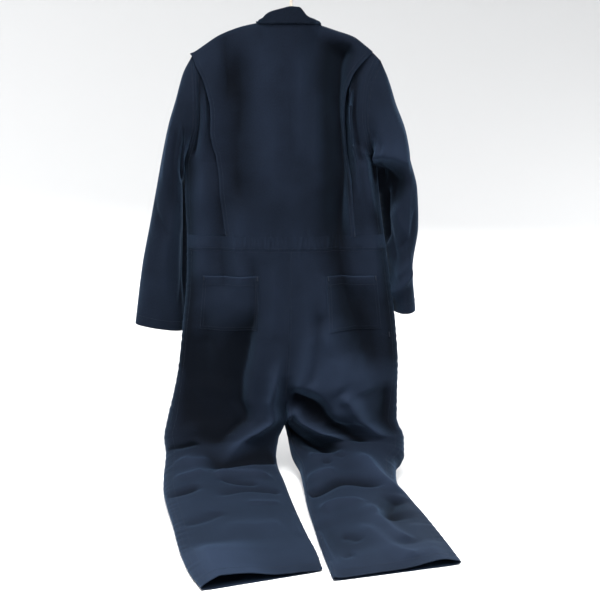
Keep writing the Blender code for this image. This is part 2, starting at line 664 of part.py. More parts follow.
def side_back_grid(side):
    return body_grid(
        side, "back", 0.0, CASING_TOP_DOWN, lambda down: upper_shares(side, down)[UNDER_COLUMN:]
    )


def side_back_lift(side):
    """How far the side back lies in: under the centre panel, then rising out of the pleat."""
    lifts = []
    for down in rows_between(side, 0.0, CASING_TOP_DOWN):
        under = CLOTH + SEAM_GAP + read(PLEAT[side], "recess", down)
        lifts.append([-under * part for part in UNDERLAP_DEPTHS])
    return np.array(lifts)


def centre_back_grid():
    """The centre back panel, from its left free edge across to its right one."""
    rows = []
    for down in rows_between("left", 0.0, CASING_TOP_DOWN):
        left = upper_shares("left", down)[EDGE_COLUMN::-1]
        right = upper_shares("right", down)[1 : EDGE_COLUMN + 1]
        row = [body_point("left", "back", share, down) for share in left]
        rows.append(row + [body_point("right", "back", share, down) for share in right])
    return Grid(rows, -1.0)


def casing_grid():
    """The elastic casing across the back waist, side seam to side seam."""
    gathered = np.linspace(0.0, ELASTIC_SHARE, 4 * GATHERS_EACH_SIDE + 1)
    shares = np.concatenate([gathered, arc_shares([ELASTIC_SHARE, 1.0], [5])[1:]])
    rows = []
    for down in np.linspace(CASING_TOP_DOWN, CASING_FOOT_DOWN, 3):
        left = [body_point("left", "back", share, down) for share in shares[::-1]]
        rows.append(left + [body_point("right", "back", share, down) for share in shares[1:]])
    return Grid(rows, -1.0)


def casing_lift():
    """Gathers raised on the stretch that the elastic draws in, uneven, and fading at its ends."""
    steps = np.arange(-4 * GATHERS_EACH_SIDE, 4 * GATHERS_EACH_SIDE + 1)
    wave = 0.5 - 0.5 * np.cos(steps * math.pi / 2)
    uneven = 1.0 + 0.45 * np.sin(steps * 0.61) * np.sin(steps * 0.23 + 1.0)
    drawn = np.clip((4 * GATHERS_EACH_SIDE - np.abs(steps)) / 6, 0.0, 1.0)
    lift = np.concatenate([np.zeros(5), GATHER_HEIGHT * wave * uneven * drawn, np.zeros(5)])
    return lift * np.array([[0.7], [1.0], [0.7]])


def placket_grid():
    """The placket down the centre front, over the edges of both fronts."""
    rows = []
    for down in rows_between("left", 0.0, PLACKET_FOOT_DOWN):
        row = []
        for side in SIGN:
            outer = abs(body_point(side, "front", 1.0, down)[0])
            shares = np.array([1.0, 0.5]) * PLACKET_HALF_WIDTH / outer
            points = [body_point(side, "front", share, down) for share in shares]
            row += points if side == "left" else [body_point(side, "front", 0.0, down), *points[::-1]]
        rows.append(row)
    return Grid(rows, 1.0)


def sleeve_grid(side):
    turns = np.arange(2 * ARMHOLE_ROWS) / (2 * ARMHOLE_ROWS)
    length = SLEEVES[side][-1].down
    downs = np.concatenate([np.linspace(0.0, 0.25, 7), np.linspace(0.25, length, 9)[1:]])
    rows = [[sleeve_point(side, turn, down) for turn in turns] for down in downs]
    return Grid(rows, SIGN[side], loop=True)


def neck_point(turn):
    """The neck seam: turn 0 at the nape, plus toward the right."""
    side = "left" if turn < 0 else "right"
    face = "back" if abs(turn) <= math.pi / 2 else "front"
    share = neck_share(side) * abs(math.sin(turn))
    return shoulder_point(side, face, share, 0.0)


def neck_chord(turn):
    """A point of the neck seam as the panels' columns make it, in straight steps."""
    step = math.pi / 2 / NECK_COLUMNS
    first = math.floor(turn / step) * step
    return neck_point(first) + (neck_point(first + step) - neck_point(first)) * (turn - first) / step


def collar_end(turn, spread, fall):
    """Where the collar's turned down layer ends, over the panels."""
    side = "left" if turn < 0 else "right"
    face = "back" if abs(turn) <= math.pi / 2 else "front"
    share = neck_share(side) * abs(math.sin(turn)) + spread
    way = np.array([0.0, -math.cos(turn), 0.5])
    return body_point(side, face, share, fall) + way / np.linalg.norm(way) * COLLAR_LIFT


def collar_grid():
    """Up inside the neck, over the fold and down outside: the face that is seen."""
    degrees = np.arange(-COLLAR_HALF_COLUMNS, COLLAR_HALF_COLUMNS + 1) * 45 / NECK_COLUMNS
    columns = []
    for degree in degrees:
        rise, lean, spread, fall = (read(COLLAR, c, degree) for c in CollarPoint._fields[1:])
        turn = math.radians(degree)
        out = np.array([math.sin(turn), -math.cos(turn), 0.0])
        crest = rise - COLLAR_ROUND
        profile = [
            (-CLOTH, SEAM_GAP),
            (0.5 * lean - CLOTH, 0.5 * rise),
            (lean - CLOTH, crest),
            (lean + COLLAR_SPACE / 2, rise),
            (lean + COLLAR_SPACE + CLOTH, crest),
        ]
        base = neck_chord(turn)
        column = [base + out * way + np.array([0.0, 0.0, up]) for way, up in profile]
        end = collar_end(turn, spread, fall)
        columns.append([*column, (column[-1] + end) / 2, end])
    return Grid(np.swapaxes(columns, 0, 1), 1.0)


def bar(name, points, radius):
    """A round bar through the points, with filled ends."""
    curve = bpy.data.curves.new(name, "CURVE")
    curve.dimensions = "3D"
    curve.bevel_depth = radius
    curve.bevel_resolution = 2
    curve.use_fill_caps = True
    spline = curve.splines.new("POLY")
    spline.points.add(len(points) - 1)
    for place, point in zip(spline.points, points):
        place.co = (*point, 1.0)
    curve.materials.append(material("pale_plastic"))
    obj = bpy.data.objects.new(name, curve)
    bpy.data.collections["boiler_suit"].objects.link(obj)
    obj.location = (0.0, 0.0, -HANG_HEIGHT)


def add_hanger():
    """Arms under the shoulder seams, and the hook that stands on their middle."""
    drop = HANGER_CLEARANCE + HANGER_RADIUS
    arms = []
    for x in np.linspace(-HANGER_REACH, HANGER_REACH, HANGER_STEPS):
        side = "left" if x < 0 else "right"
        line = shoulder_height(side, max(abs(x), NECK_HALF_WIDTH), "back") - drop
        inside = max(0.0, 1 - abs(x) / NECK_HALF_WIDTH)
        arms.append((x, 0.0, line + (HANGER_MIDDLE_HEIGHT - line) * inside * (2 - inside)))
    bar("hanger_arms", arms, HANGER_RADIUS)
    foot = HANGER_MIDDLE_HEIGHT + HANGER_RADIUS + SEAM_GAP
    centre = HANG_HEIGHT + HOOK_RADIUS - HOOK_BEND
    turns = np.radians(np.linspace(*HOOK_TURNS, HOOK_STEPS))
    bend = [(HOOK_BEND * math.cos(a), 0.0, centre + HOOK_BEND * math.sin(a)) for a in turns]
    stem = [(HOOK_X, 0.0, foot), (HOOK_X, 0.0, centre - HOOK_NECK)]
    bar("hanger_hook", stem + bend, HOOK_RADIUS)


def add_snap(number, down):
    """A snap's cap on the placket."""
    middle = body_point("right", "front", 0.0, down)
    mesh = bpy.data.meshes.new(f"snap_{number}")
    shape = bmesh.new()
    bmesh.ops.create_cone(
        shape,
        cap_ends=True,
        segments=16,
        radius1=SNAP_RADIUS,
        radius2=SNAP_RADIUS * 0.8,
        depth=SNAP_HEIGHT,
    )
    shape.to_mesh(mesh)
    shape.free()
    snap = add_object(f"snap_{number}", mesh, "snap_metal")
    rise = PLACKET_RAISED + SEAM_GAP * 2 + SNAP_HEIGHT / 2
    snap.location = (middle[0], middle[1] + rise, middle[2] - HANG_HEIGHT)
    snap.rotation_euler = (-math.pi / 2, 0.0, 0.0)


def main():
    for obj in list(bpy.data.objects):
        bpy.data.objects.remove(obj)
    suit = bpy.data.collections.new("boiler_suit")
    bpy.context.scene.collection.children.link(suit)
    grids = {}
    for side in SIGN:
        hem = HEM_DOWN[side]
        grids["front_" + side] = body_grid(
            side, "front", 0.0, CASING_FOOT_DOWN, front_shares(side)
        )
        grids["trouser_front_" + side] = body_grid(
            side, "front", CASING_FOOT_DOWN, hem, trouser_front_shares
        )
        grids["trouser_back_" + side] = body_grid(
            side, "back", CASING_FOOT_DOWN, hem, trouser_shares(side)
        )
        grids["side_back_" + side] = side_back_grid(side)
        grids["sleeve_" + side] = sleeve_grid(side)
    grids["back_centre"] = centre_back_grid()
    grids["waist_casing"] = casing_grid()
    grids["collar"] = collar_grid()
    grids["placket"] = placket_grid()
    share_normals(grids.values())
    lifts = {"side_back_" + side: side_back_lift(side) for side in SIGN}
    lifts["waist_casing"] = casing_lift()
    lifts["placket"] = PLACKET_RAISED
    for name, grid in grids.items():
        cloth(name, grid, lifts.get(name, 0.0))
    for side in SIGN:
        downs = rows_between(side, CASING_FOOT_DOWN, HEM_DOWN[side])
        rows = (downs > POCKET_TOP_DOWN - 1e-6) & (downs < POCKET_FOOT_DOWN + 1e-6)
        pocket = grids["trouser_back_" + side].part(rows, POCKET_COLUMNS)
        cloth("pocket_" + side, pocket, POCKET_CLOTH + SEAM_GAP, POCKET_CLOTH)
    for number, down in enumerate(SNAP_DOWNS, 1):
        add_snap(number, down)
    add_hanger()


main()
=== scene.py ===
import math
from collections import namedtuple

import bmesh
import bpy
import numpy as np
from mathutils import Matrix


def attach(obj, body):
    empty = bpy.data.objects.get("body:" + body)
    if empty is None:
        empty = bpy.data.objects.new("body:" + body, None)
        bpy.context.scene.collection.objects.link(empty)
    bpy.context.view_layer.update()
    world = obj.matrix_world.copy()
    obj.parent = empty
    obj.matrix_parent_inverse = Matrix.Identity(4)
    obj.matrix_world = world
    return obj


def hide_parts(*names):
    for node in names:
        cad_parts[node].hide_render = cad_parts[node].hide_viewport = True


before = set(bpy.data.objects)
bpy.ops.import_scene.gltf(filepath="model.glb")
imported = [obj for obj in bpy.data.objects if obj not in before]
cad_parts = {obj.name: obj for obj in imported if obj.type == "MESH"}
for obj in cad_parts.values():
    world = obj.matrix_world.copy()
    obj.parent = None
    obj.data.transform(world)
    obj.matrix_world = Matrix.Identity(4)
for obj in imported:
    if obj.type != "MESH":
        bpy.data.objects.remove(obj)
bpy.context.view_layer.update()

# ---- Camera, floor and light -------------------------------------------------------------------
# A white studio sweep: a floor that runs out flat and then curves up all round, under a wide soft
# box. The camera stands behind the suit and looks a little down on it.
HANG_HEIGHT = 1.190  # from the floor up to the point that the hook hangs on
SWEEP_FLAT = 2.8  # radius of the flat floor
SWEEP_BEND = 4.4  # radius of its curve up
SWEEP_TOP = 4.6


def add_object(name, data):
    made = bpy.data.objects.new(name, data)
    bpy.context.scene.collection.objects.link(made)
    return made


def set_inputs(node, values):
    for name, value in values.items():
        node.inputs[name].default_value = value


def add_node(tree, kind, values):
    node = tree.nodes.new(kind)
    set_inputs(node, values)
    return node


def add_material(name, values):
    made = bpy.data.materials.new(name)
    made.use_nodes = True
    set_inputs(made.node_tree.nodes["Principled BSDF"], values)
    return made


def round_turns(count):
    return np.linspace(0.0, 2 * math.pi, count + 1)[:-1]


def skin(shape, rings):
    """Faces from each ring of a bmesh's points to the next. A ring may be a single point."""
    for near, far in zip(rings, rings[1:]):
        count = max(len(near), len(far))
        for k in range(count):
            n = (k + 1) % count
            corners = [near[k % len(near)], near[n % len(near)], far[n % len(far)], far[k % len(far)]]
            shape.faces.new(list(dict.fromkeys(corners)))


def smooth_mesh(name, shape, material):
    """A bmesh as a mesh, with its faces pointing out."""
    bmesh.ops.recalc_face_normals(shape, faces=shape.faces)
    mesh = bpy.data.meshes.new(name)
    shape.to_mesh(mesh)
    shape.free()
    mesh.shade_smooth()
    mesh.materials.append(material)
    return mesh


camera = add_object("camera", bpy.data.cameras.new("camera"))
camera.data.sensor_width = 36.0
camera.data.sensor_fit = "HORIZONTAL"
camera.data.lens = 74.1
camera.location = (0.0245, -2.935, -0.13)
camera.rotation_euler = (math.radians(78.0), 0.0, 0.0)
bpy.context.scene.camera = camera
bpy.context.scene.view_settings.view_transform = "Standard"


def add_sweep():
    bend = np.radians(np.linspace(0.0, 90.0, 25))
    curve = SWEEP_FLAT + SWEEP_BEND * np.sin(bend)
    radii = [0.0, 0.6, 1.2, 2.0, *curve, SWEEP_FLAT + SWEEP_BEND]
    heights = [0.0] * 4 + list(SWEEP_BEND * (1 - np.cos(bend))) + [SWEEP_TOP]
    shape = bmesh.new()
    rings = []
    for radius, height in zip(radii, heights):
        turns = round_turns(96) if radius else [0.0]
        ring = [(radius * math.cos(t), radius * math.sin(t), height - HANG_HEIGHT) for t in turns]
        rings.append([shape.verts.new(p) for p in ring])
    skin(shape, rings[::-1])
    paper = add_material("sweep_paper", {"Base Color": (0.60, 0.605, 0.61, 1.0), "Roughness": 0.9})
    sweep = add_object("sweep", smooth_mesh("sweep", shape, paper))


def add_light(name, place, aim, width, power, spread=180.0):
    lamp = bpy.data.lights.new(name, "AREA")
    lamp.shape = "RECTANGLE"
    lamp.size = width[0]
    lamp.size_y = width[1]
    lamp.energy = power
    lamp.spread = math.radians(spread)
    light = add_object(name, lamp)
    light.location = place
    way = np.array(place) - np.array(aim)
    flat = math.hypot(way[0], way[1])
    light.rotation_euler = (math.atan2(flat, way[2]), 0.0, math.atan2(way[1], way[0]) + math.pi / 2)
    light.visible_camera = False


add_sweep()
add_light("soft_box", (0.7, -1.9, 1.6), (0.0, 0.0, -0.7), (2.0, 2.0), 66.0)
add_light("left_fill", (-2.1, -1.5, 0.9), (0.0, 0.0, -0.7), (2.2, 2.2), 34.0)
add_light("front_fill", (0.5, 2.4, 0.9), (0.0, 0.0, -0.6), (1.8, 1.8), 110.0)
add_light("overhead", (-0.3, -1.5, 2.0), (-0.1, -1.2, -HANG_HEIGHT), (1.6, 1.4), 50.0, spread=60.0)
add_light("floor_fill", (1.9, -1.9, 1.6), (0.9, -1.5, -HANG_HEIGHT), (1.6, 1.6), 22.0)
add_light("backdrop_light", (-1.9, 1.2, 2.3), (-2.4, 7.0, -0.5), (4.6, 1.6), 280.0)
add_light("backdrop_light_right", (2.4, 1.7, 0.4), (2.3, 4.7, -1.1), (2.4, 0.9), 34.0, spread=130.0)
world = bpy.data.worlds.new("studio")
world.use_nodes = True
set_inputs(world.node_tree.nodes["Background"], {"Color": (0.97, 0.98, 1.0, 1.0), "Strength": 0.26})
bpy.context.scene.world = world

# ---- Centre back panel -------------------------------------------------------------------------
# One piece of navy cotton and polyester twill across the shoulder blades, cut between the two
# action pleats. Its long side edges are turned, topstitched twice and hang free over the underlay.
SIGN = {"left": -1.0, "right": 1.0}
UNDERARM_DOWN = 0.325
UNDERARM_HEIGHT = 0.775
CASING_TOP_DOWN = 0.500
CASING_FOOT_DOWN = 0.532
ARMHOLE_DEPTH = 0.046
NECK_HALF_WIDTH = 0.068
NECK_DEPTH = {"back": 0.046, "front": 0.056}
NECK_HEIGHT = {"back": 1.094, "front": 1.025}
CLOTH = 0.0014  # a turned edge's two layers
FACED_CLOTH = 0.0018  # a panel with a facing
SPACING = 0.0045  # of a panel's points
EDGE_SOFT = 0.0012  # how far the cloth rolls in at a seam
SEAM_DIPS = (0.0004, 0.0001, 0.0)  # how deep its outer face rolls there
WAVE = 0.0012  # height of the small uneven waves in all the cloth
WAVE_CALM_DOWN = 1.15  # where they start to grow lower, on the lying legs
LIE_DOWN = 0.95  # where folds start to stand up from the floor and not out from the back
LIE_REACH = 0.25
FLOOR_GAP = {"back": 0.0032, "front": 0.0004}  # a leg's least height over the floor
LEG_CURL = {"back": 0.85, "front": 0.65}  # how round a leg's section is: 1 is an ellipse

# down the suit; y and height of the section's middle; x of the centre line or inseam and of the
# side seam; half depths at the back and the front; 0 for half the trunk to 1 for a closed leg; turn
Section = namedtuple("Section", "down y height inner outer back front leg turn")

SECTIONS = {
    "left": [
        Section(0.325, 0.000, 0.775, 0.001, -0.250, 0.060, 0.055, 0.0, 0),
        Section(0.400, 0.000, 0.700, 0.001, -0.250, 0.064, 0.056, 0.0, 0),
        Section(0.500, 0.000, 0.600, 0.001, -0.247, 0.058, 0.055, 0.0, 0),
        Section(0.600, 0.000, 0.500, 0.002, -0.249, 0.062, 0.057, 0.0, 0),
        Section(0.730, 0.000, 0.370, 0.000, -0.262, 0.068, 0.060, 0.0, 0),
        Section(0.830, -0.001, 0.270, -0.005, -0.274, 0.070, 0.060, 0.08, 0),
        Section(0.900, -0.002, 0.200, -0.007, -0.288, 0.068, 0.058, 0.45, 0),
        Section(0.960, -0.006, 0.140, -0.007, -0.303, 0.064, 0.056, 1.0, 0),
        Section(1.010, -0.020, 0.093, -0.028, -0.311, 0.060, 0.052, 1.0, 0),
        Section(1.060, -0.050, 0.058, -0.034, -0.304, 0.050, 0.046, 1.0, 2),
        Section(1.120, -0.100, 0.036, -0.028, -0.303, 0.040, 0.037, 1.0, 5),
        Section(1.190, -0.168, 0.024, -0.012, -0.298, 0.032, 0.027, 1.0, 9),
        Section(1.280, -0.258, 0.018, 0.004, -0.281, 0.024, 0.021, 1.0, 12),
        Section(1.380, -0.357, 0.014, 0.022, -0.258, 0.018, 0.017, 1.0, 13),
        Section(1.500, -0.477, 0.010, 0.046, -0.233, 0.013, 0.013, 1.0, 14),
        Section(1.600, -0.576, 0.008, 0.068, -0.206, 0.009, 0.011, 1.0, 18),
        Section(1.670, -0.645, 0.007, 0.078, -0.178, 0.007, 0.010, 1.0, 21),
    ],
    "right": [
        Section(0.325, 0.000, 0.775, 0.001, 0.206, 0.060, 0.055, 0.0, 0),
        Section(0.400, 0.000, 0.700, 0.001, 0.213, 0.064, 0.056, 0.0, 0),
        Section(0.500, 0.000, 0.600, 0.001, 0.226, 0.058, 0.055, 0.0, 0),
        Section(0.600, 0.000, 0.500, 0.002, 0.241, 0.062, 0.057, 0.0, 0),
        Section(0.730, 0.000, 0.370, 0.000, 0.258, 0.068, 0.060, 0.0, 0),
        Section(0.830, -0.001, 0.270, -0.005, 0.265, 0.070, 0.060, 0.08, 0),
        Section(0.900, -0.002, 0.200, -0.013, 0.264, 0.068, 0.058, 0.45, 0),
        Section(0.960, -0.006, 0.140, -0.013, 0.264, 0.064, 0.056, 1.0, 0),
        Section(1.010, -0.020, 0.093, -0.006, 0.281, 0.060, 0.052, 1.0, 0),
        Section(1.060, -0.050, 0.058, 0.004, 0.280, 0.056, 0.046, 1.0, 0),
        Section(1.120, -0.100, 0.038, 0.024, 0.256, 0.050, 0.038, 1.0, 1),
        Section(1.190, -0.168, 0.026, 0.032, 0.254, 0.037, 0.028, 1.0, 3),
        Section(1.280, -0.258, 0.018, 0.039, 0.279, 0.026, 0.021, 1.0, 6),
        Section(1.380, -0.357, 0.014, 0.051, 0.306, 0.019, 0.017, 1.0, 9),
        Section(1.500, -0.475, 0.010, 0.065, 0.334, 0.013, 0.013, 1.0, 13),
        Section(1.635, -0.606, 0.007, 0.084, 0.362, 0.007, 0.010, 1.0, 17),
    ],
}

ShoulderPoint = namedtuple("ShoulderPoint", "out height")
SHOULDER = {
    "left": [
        ShoulderPoint(0.068, 1.094),
        ShoulderPoint(0.110, 1.085),
        ShoulderPoint(0.161, 1.066),
        ShoulderPoint(0.197, 1.043),
        ShoulderPoint(0.226, 1.020),
    ],
    "right": [
        ShoulderPoint(0.068, 1.089),
        ShoulderPoint(0.110, 1.075),
        ShoulderPoint(0.148, 1.062),
        ShoulderPoint(0.178, 1.040),
        ShoulderPoint(0.212, 1.008),
    ],
}

ArmholePoint = namedtuple("ArmholePoint", "share out")
ARMHOLE = {
    "left": [
        ArmholePoint(0.0, 0.226),
        ArmholePoint(0.35, 0.221),
        ArmholePoint(0.62, 0.222),
        ArmholePoint(0.82, 0.234),
        ArmholePoint(1.0, 0.250),
    ],
    "right": [
        ArmholePoint(0.0, 0.212),
        ArmholePoint(0.30, 0.184),
        ArmholePoint(0.55, 0.180),
        ArmholePoint(0.80, 0.190),
        ArmholePoint(1.0, 0.206),
    ],
}

# The free edge of the centre panel: down, share of the half back, how far the underlay lies in
PleatPoint = namedtuple("PleatPoint", "down share recess")
PLEAT = {
    "left": [
        PleatPoint(0.000, 0.985, 0.000),
        PleatPoint(0.070, 0.970, 0.002),
        PleatPoint(0.110, 0.914, 0.006),
        PleatPoint(0.143, 0.864, 0.008),
        PleatPoint(0.169, 0.830, 0.009),
        PleatPoint(0.212, 0.809, 0.008),
        PleatPoint(0.252, 0.748, 0.006),
        PleatPoint(0.288, 0.694, 0.004),
        PleatPoint(0.352, 0.667, 0.003),
        PleatPoint(0.400, 0.657, 0.003),
        PleatPoint(0.448, 0.638, 0.002),
        PleatPoint(0.500, 0.615, 0.000),
    ],
    "right": [
        PleatPoint(0.000, 0.905, 0.000),
        PleatPoint(0.054, 0.882, 0.002),
        PleatPoint(0.088, 0.838, 0.010),
        PleatPoint(0.126, 0.765, 0.014),
        PleatPoint(0.150, 0.722, 0.014),
        PleatPoint(0.183, 0.704, 0.010),
        PleatPoint(0.228, 0.684, 0.007),
        PleatPoint(0.301, 0.662, 0.005),
        PleatPoint(0.375, 0.684, 0.003),
        PleatPoint(0.500, 0.690, 0.000),
    ],
}

# A fold follows its path of (across, down) points: a ridge, or a trough where its height is below
# 0. out is its width on the outer side of a path that runs down, or above one that runs out.
Fold = namedtuple("Fold", "path out inside height")

BACK_FOLDS = {
    "left": [
        Fold(((0.68, 0.02), (0.67, 0.08), (0.63, 0.17)), 0.012, 0.014, -0.005),
        Fold(((0.56, 0.06), (0.52, 0.16), (0.50, 0.32), (0.44, 0.45)), 0.036, 0.036, -0.010),
        Fold(((0.30, 0.06), (0.24, 0.22), (0.18, 0.40)), 0.045, 0.050, 0.004),
        Fold(((0.89, 0.10), (0.88, 0.20), (0.84, 0.32), (0.83, 0.46)), 0.008, 0.016, 0.005),
        Fold(((0.95, 0.08), (0.945, 0.20), (0.91, 0.31)), 0.006, 0.006, -0.010),
        Fold(((0.62, 0.38), (0.66, 0.52), (0.60, 0.66)), 0.020, 0.020, -0.005),
        Fold(((0.85, 0.34), (0.88, 0.50), (0.86, 0.64)), 0.026, 0.030, 0.007),
        Fold(((0.46, 0.42), (0.50, 0.54), (0.46, 0.66)), 0.018, 0.020, 0.004),
        Fold(((0.36, 0.54), (0.33, 0.64), (0.30, 0.76)), 0.016, 0.012, -0.005),
        Fold(((0.16, 0.56), (0.15, 0.66), (0.16, 0.76)), 0.014, 0.016, 0.003),
        Fold(((0.80, 0.66), (0.74, 0.78), (0.76, 0.88)), 0.034, 0.030, -0.006),
        Fold(((0.33, 0.66), (0.37, 0.76), (0.43, 0.84), (0.54, 0.92), (0.67, 1.01), (0.77, 1.10)),
             0.060, 0.012, -0.022),
        Fold(((0.03, 0.76), (0.14, 0.87), (0.32, 0.95), (0.46, 1.02), (0.60, 1.09), (0.78, 1.18)),
             0.016, 0.016, 0.018),
        Fold(((0.56, 0.84), (0.64, 0.95), (0.74, 1.05)), 0.024, 0.020, 0.007),
        Fold(((0.86, 0.72), (0.86, 0.86), (0.84, 1.00)), 0.050, 0.050, -0.010),
        Fold(((0.84, 1.162), (0.50, 1.130), (0.04, 1.095)), 0.012, 0.044, -0.020),
        Fold(((0.78, 1.185), (0.60, 1.200), (0.30, 1.205)), 0.008, 0.012, 0.009),
        Fold(((0.74, 1.205), (0.64, 1.235), (0.48, 1.250)), 0.008, 0.009, -0.006),
        Fold(((0.80, 1.295), (0.63, 1.275), (0.42, 1.280), (0.25, 1.285)), 0.008, 0.014, -0.005),
        Fold(((0.64, 1.335), (0.48, 1.340), (0.32, 1.338)), 0.008, 0.010, 0.0022),
        Fold(((1.00, 1.250), (0.93, 1.250), (0.84, 1.235)), 0.010, 0.009, -0.009),
        Fold(((0.98, 1.410), (0.87, 1.400), (0.77, 1.370)), 0.010, 0.016, -0.0035),
        Fold(((1.00, 1.052), (0.92, 1.060), (0.82, 1.050)), 0.010, 0.012, -0.012),
        Fold(((0.95, 1.110), (0.86, 1.125), (0.76, 1.120)), 0.016, 0.016, 0.006),
        Fold(((0.96, 1.185), (0.88, 1.180), (0.80, 1.170)), 0.012, 0.010, 0.005),
        Fold(((0.40, 1.440), (0.60, 1.450), (0.80, 1.430)), 0.020, 0.026, 0.0025),
        Fold(((0.15, 1.380), (0.24, 1.440), (0.28, 1.520)), 0.012, 0.014, 0.0022),
        Fold(((0.88, 1.500), (0.93, 1.640), (0.95, 1.800)), 0.030, 0.060, 0.011),
        Fold(((-0.10, 1.665), (0.35, 1.668), (0.80, 1.670)), 0.030, 0.030, -0.004),
    ],
    "right": [
        Fold(((0.70, 0.035), (0.67, 0.07), (0.645, 0.10), (0.645, 0.15), (0.64, 0.22), (0.615, 0.30),
              (0.60, 0.38), (0.56, 0.46), (0.54, 0.54)), 0.014, 0.046, -0.027),
        Fold(((0.56, 0.38), (0.51, 0.48), (0.50, 0.56), (0.56, 0.66), (0.66, 0.76), (0.76, 0.87)),
             0.024, 0.036, -0.013),
        Fold(((0.12, 0.06), (0.12, 0.20), (0.14, 0.36)), 0.050, 0.050, 0.004),
        Fold(((0.36, 0.14), (0.30, 0.26), (0.32, 0.40)), 0.018, 0.024, 0.004),
        Fold(((0.63, 0.34), (0.64, 0.44), (0.68, 0.54)), 0.012, 0.012, 0.006),
        Fold(((0.80, 0.10), (0.77, 0.20), (0.76, 0.32), (0.79, 0.45)), 0.008, 0.010, 0.007),
        Fold(((0.85, 0.10), (0.83, 0.22), (0.82, 0.34)), 0.007, 0.006, -0.008),
        Fold(((0.86, 0.24), (0.88, 0.35), (0.93, 0.47)), 0.008, 0.010, 0.009),
        Fold(((0.94, 0.27), (0.96, 0.38)), 0.008, 0.008, -0.010),
        Fold(((0.92, 0.47), (0.88, 0.58), (0.86, 0.68)), 0.020, 0.024, 0.006),
        Fold(((0.33, 0.58), (0.36, 0.68), (0.38, 0.80)), 0.012, 0.022, 0.005),
        Fold(((0.28, 0.67), (0.27, 0.74), (0.25, 0.82), (0.22, 0.88)), 0.014, 0.012, -0.0065),
        Fold(((0.16, 0.60), (0.18, 0.72), (0.20, 0.84)), 0.020, 0.020, 0.003),
        Fold(((0.60, 0.77), (0.70, 0.84), (0.78, 0.89)), 0.024, 0.034, 0.009),
        Fold(((0.70, 0.60), (0.74, 0.72), (0.82, 0.84)), 0.040, 0.045, -0.009),
        Fold(((0.02, 0.880), (0.20, 0.895), (0.40, 0.912), (0.60, 0.945), (0.78, 1.005)),
             0.010, 0.024, -0.018),
        Fold(((0.02, 0.915), (0.12, 0.935), (0.25, 0.960)), 0.012, 0.012, 0.013),
        Fold(((-0.05, 0.868), (0.18, 0.862), (0.38, 0.880), (0.58, 0.925), (0.76, 0.985)),
             0.075, 0.014, 0.014),
        Fold(((-0.20, 0.940), (0.10, 0.980), (0.32, 1.015), (0.50, 1.070), (0.68, 1.130)),
             0.016, 0.026, -0.036),
        Fold(((0.26, 0.70), (0.42, 0.80), (0.56, 0.90)), 0.050, 0.050, 0.008),
        Fold(((0.14, 0.920), (0.34, 0.950), (0.52, 1.000), (0.72, 1.070)), 0.014, 0.012, 0.016),
        Fold(((0.54, 0.875), (0.71, 0.912), (0.84, 0.965), (0.90, 1.045)), 0.012, 0.012, 0.017),
        Fold(((0.88, 0.850), (0.93, 0.940), (0.96, 1.020)), 0.018, 0.020, -0.012),
        Fold(((0.60, 0.965), (0.72, 1.010), (0.80, 1.075)), 0.016, 0.018, -0.014),
        Fold(((0.46, 1.145), (0.57, 1.150)), 0.008, 0.008, -0.006),
        Fold(((0.60, 1.125), (0.68, 1.140)), 0.008, 0.007, -0.004),
        Fold(((0.30, 1.100), (0.50, 1.115), (0.70, 1.105)), 0.010, 0.016, 0.008),
        Fold(((0.78, 1.110), (0.86, 1.180), (0.91, 1.240), (0.96, 1.285)), 0.012, 0.018, 0.013),
        Fold(((0.12, 1.245), (0.35, 1.258), (0.58, 1.228), (0.76, 1.235), (0.93, 1.270)),
             0.008, 0.014, -0.013),
        Fold(((0.16, 1.200), (0.40, 1.190), (0.62, 1.185)), 0.016, 0.020, 0.006),
        Fold(((0.28, 1.345), (0.50, 1.325), (0.74, 1.330)), 0.008, 0.022, 0.008),
        Fold(((0.74, 1.330), (0.75, 1.410), (0.80, 1.490), (0.86, 1.535)), 0.009, 0.020, 0.009),
        Fold(((0.94, 1.290), (0.85, 1.350), (0.80, 1.420)), 0.018, 0.014, -0.011),
        Fold(((0.60, 1.420), (0.69, 1.500), (0.76, 1.575), (0.85, 1.610)), 0.012, 0.020, 0.006),
        Fold(((0.42, 1.470), (0.50, 1.480), (0.58, 1.505)), 0.012, 0.012, -0.004),
        Fold(((0.36, 1.560), (0.48, 1.550)), 0.010, 0.012, -0.003),
        Fold(((0.93, 1.420), (0.90, 1.500), (0.95, 1.580)), 0.014, 0.016, 0.004),
        Fold(((0.16, 1.420), (0.20, 1.500), (0.24, 1.600)), 0.010, 0.012, 0.003),
        Fold(((0.90, 1.540), (0.93, 1.640), (0.94, 1.720)), 0.020, 0.036, 0.005),
        Fold(((0.30, 1.380), (0.35, 1.480), (0.42, 1.580)), 0.060, 0.060, -0.004),
        Fold(((0.84, 1.360), (0.87, 1.460), (0.90, 1.560)), 0.040, 0.040, -0.005),
        Fold(((0.16, 1.560), (0.13, 1.640), (0.12, 1.720)), 0.030, 0.018, 0.004),
        Fold(((0.00, 1.630), (0.45, 1.632), (0.98, 1.635)), 0.030, 0.030, -0.004),
    ],
}
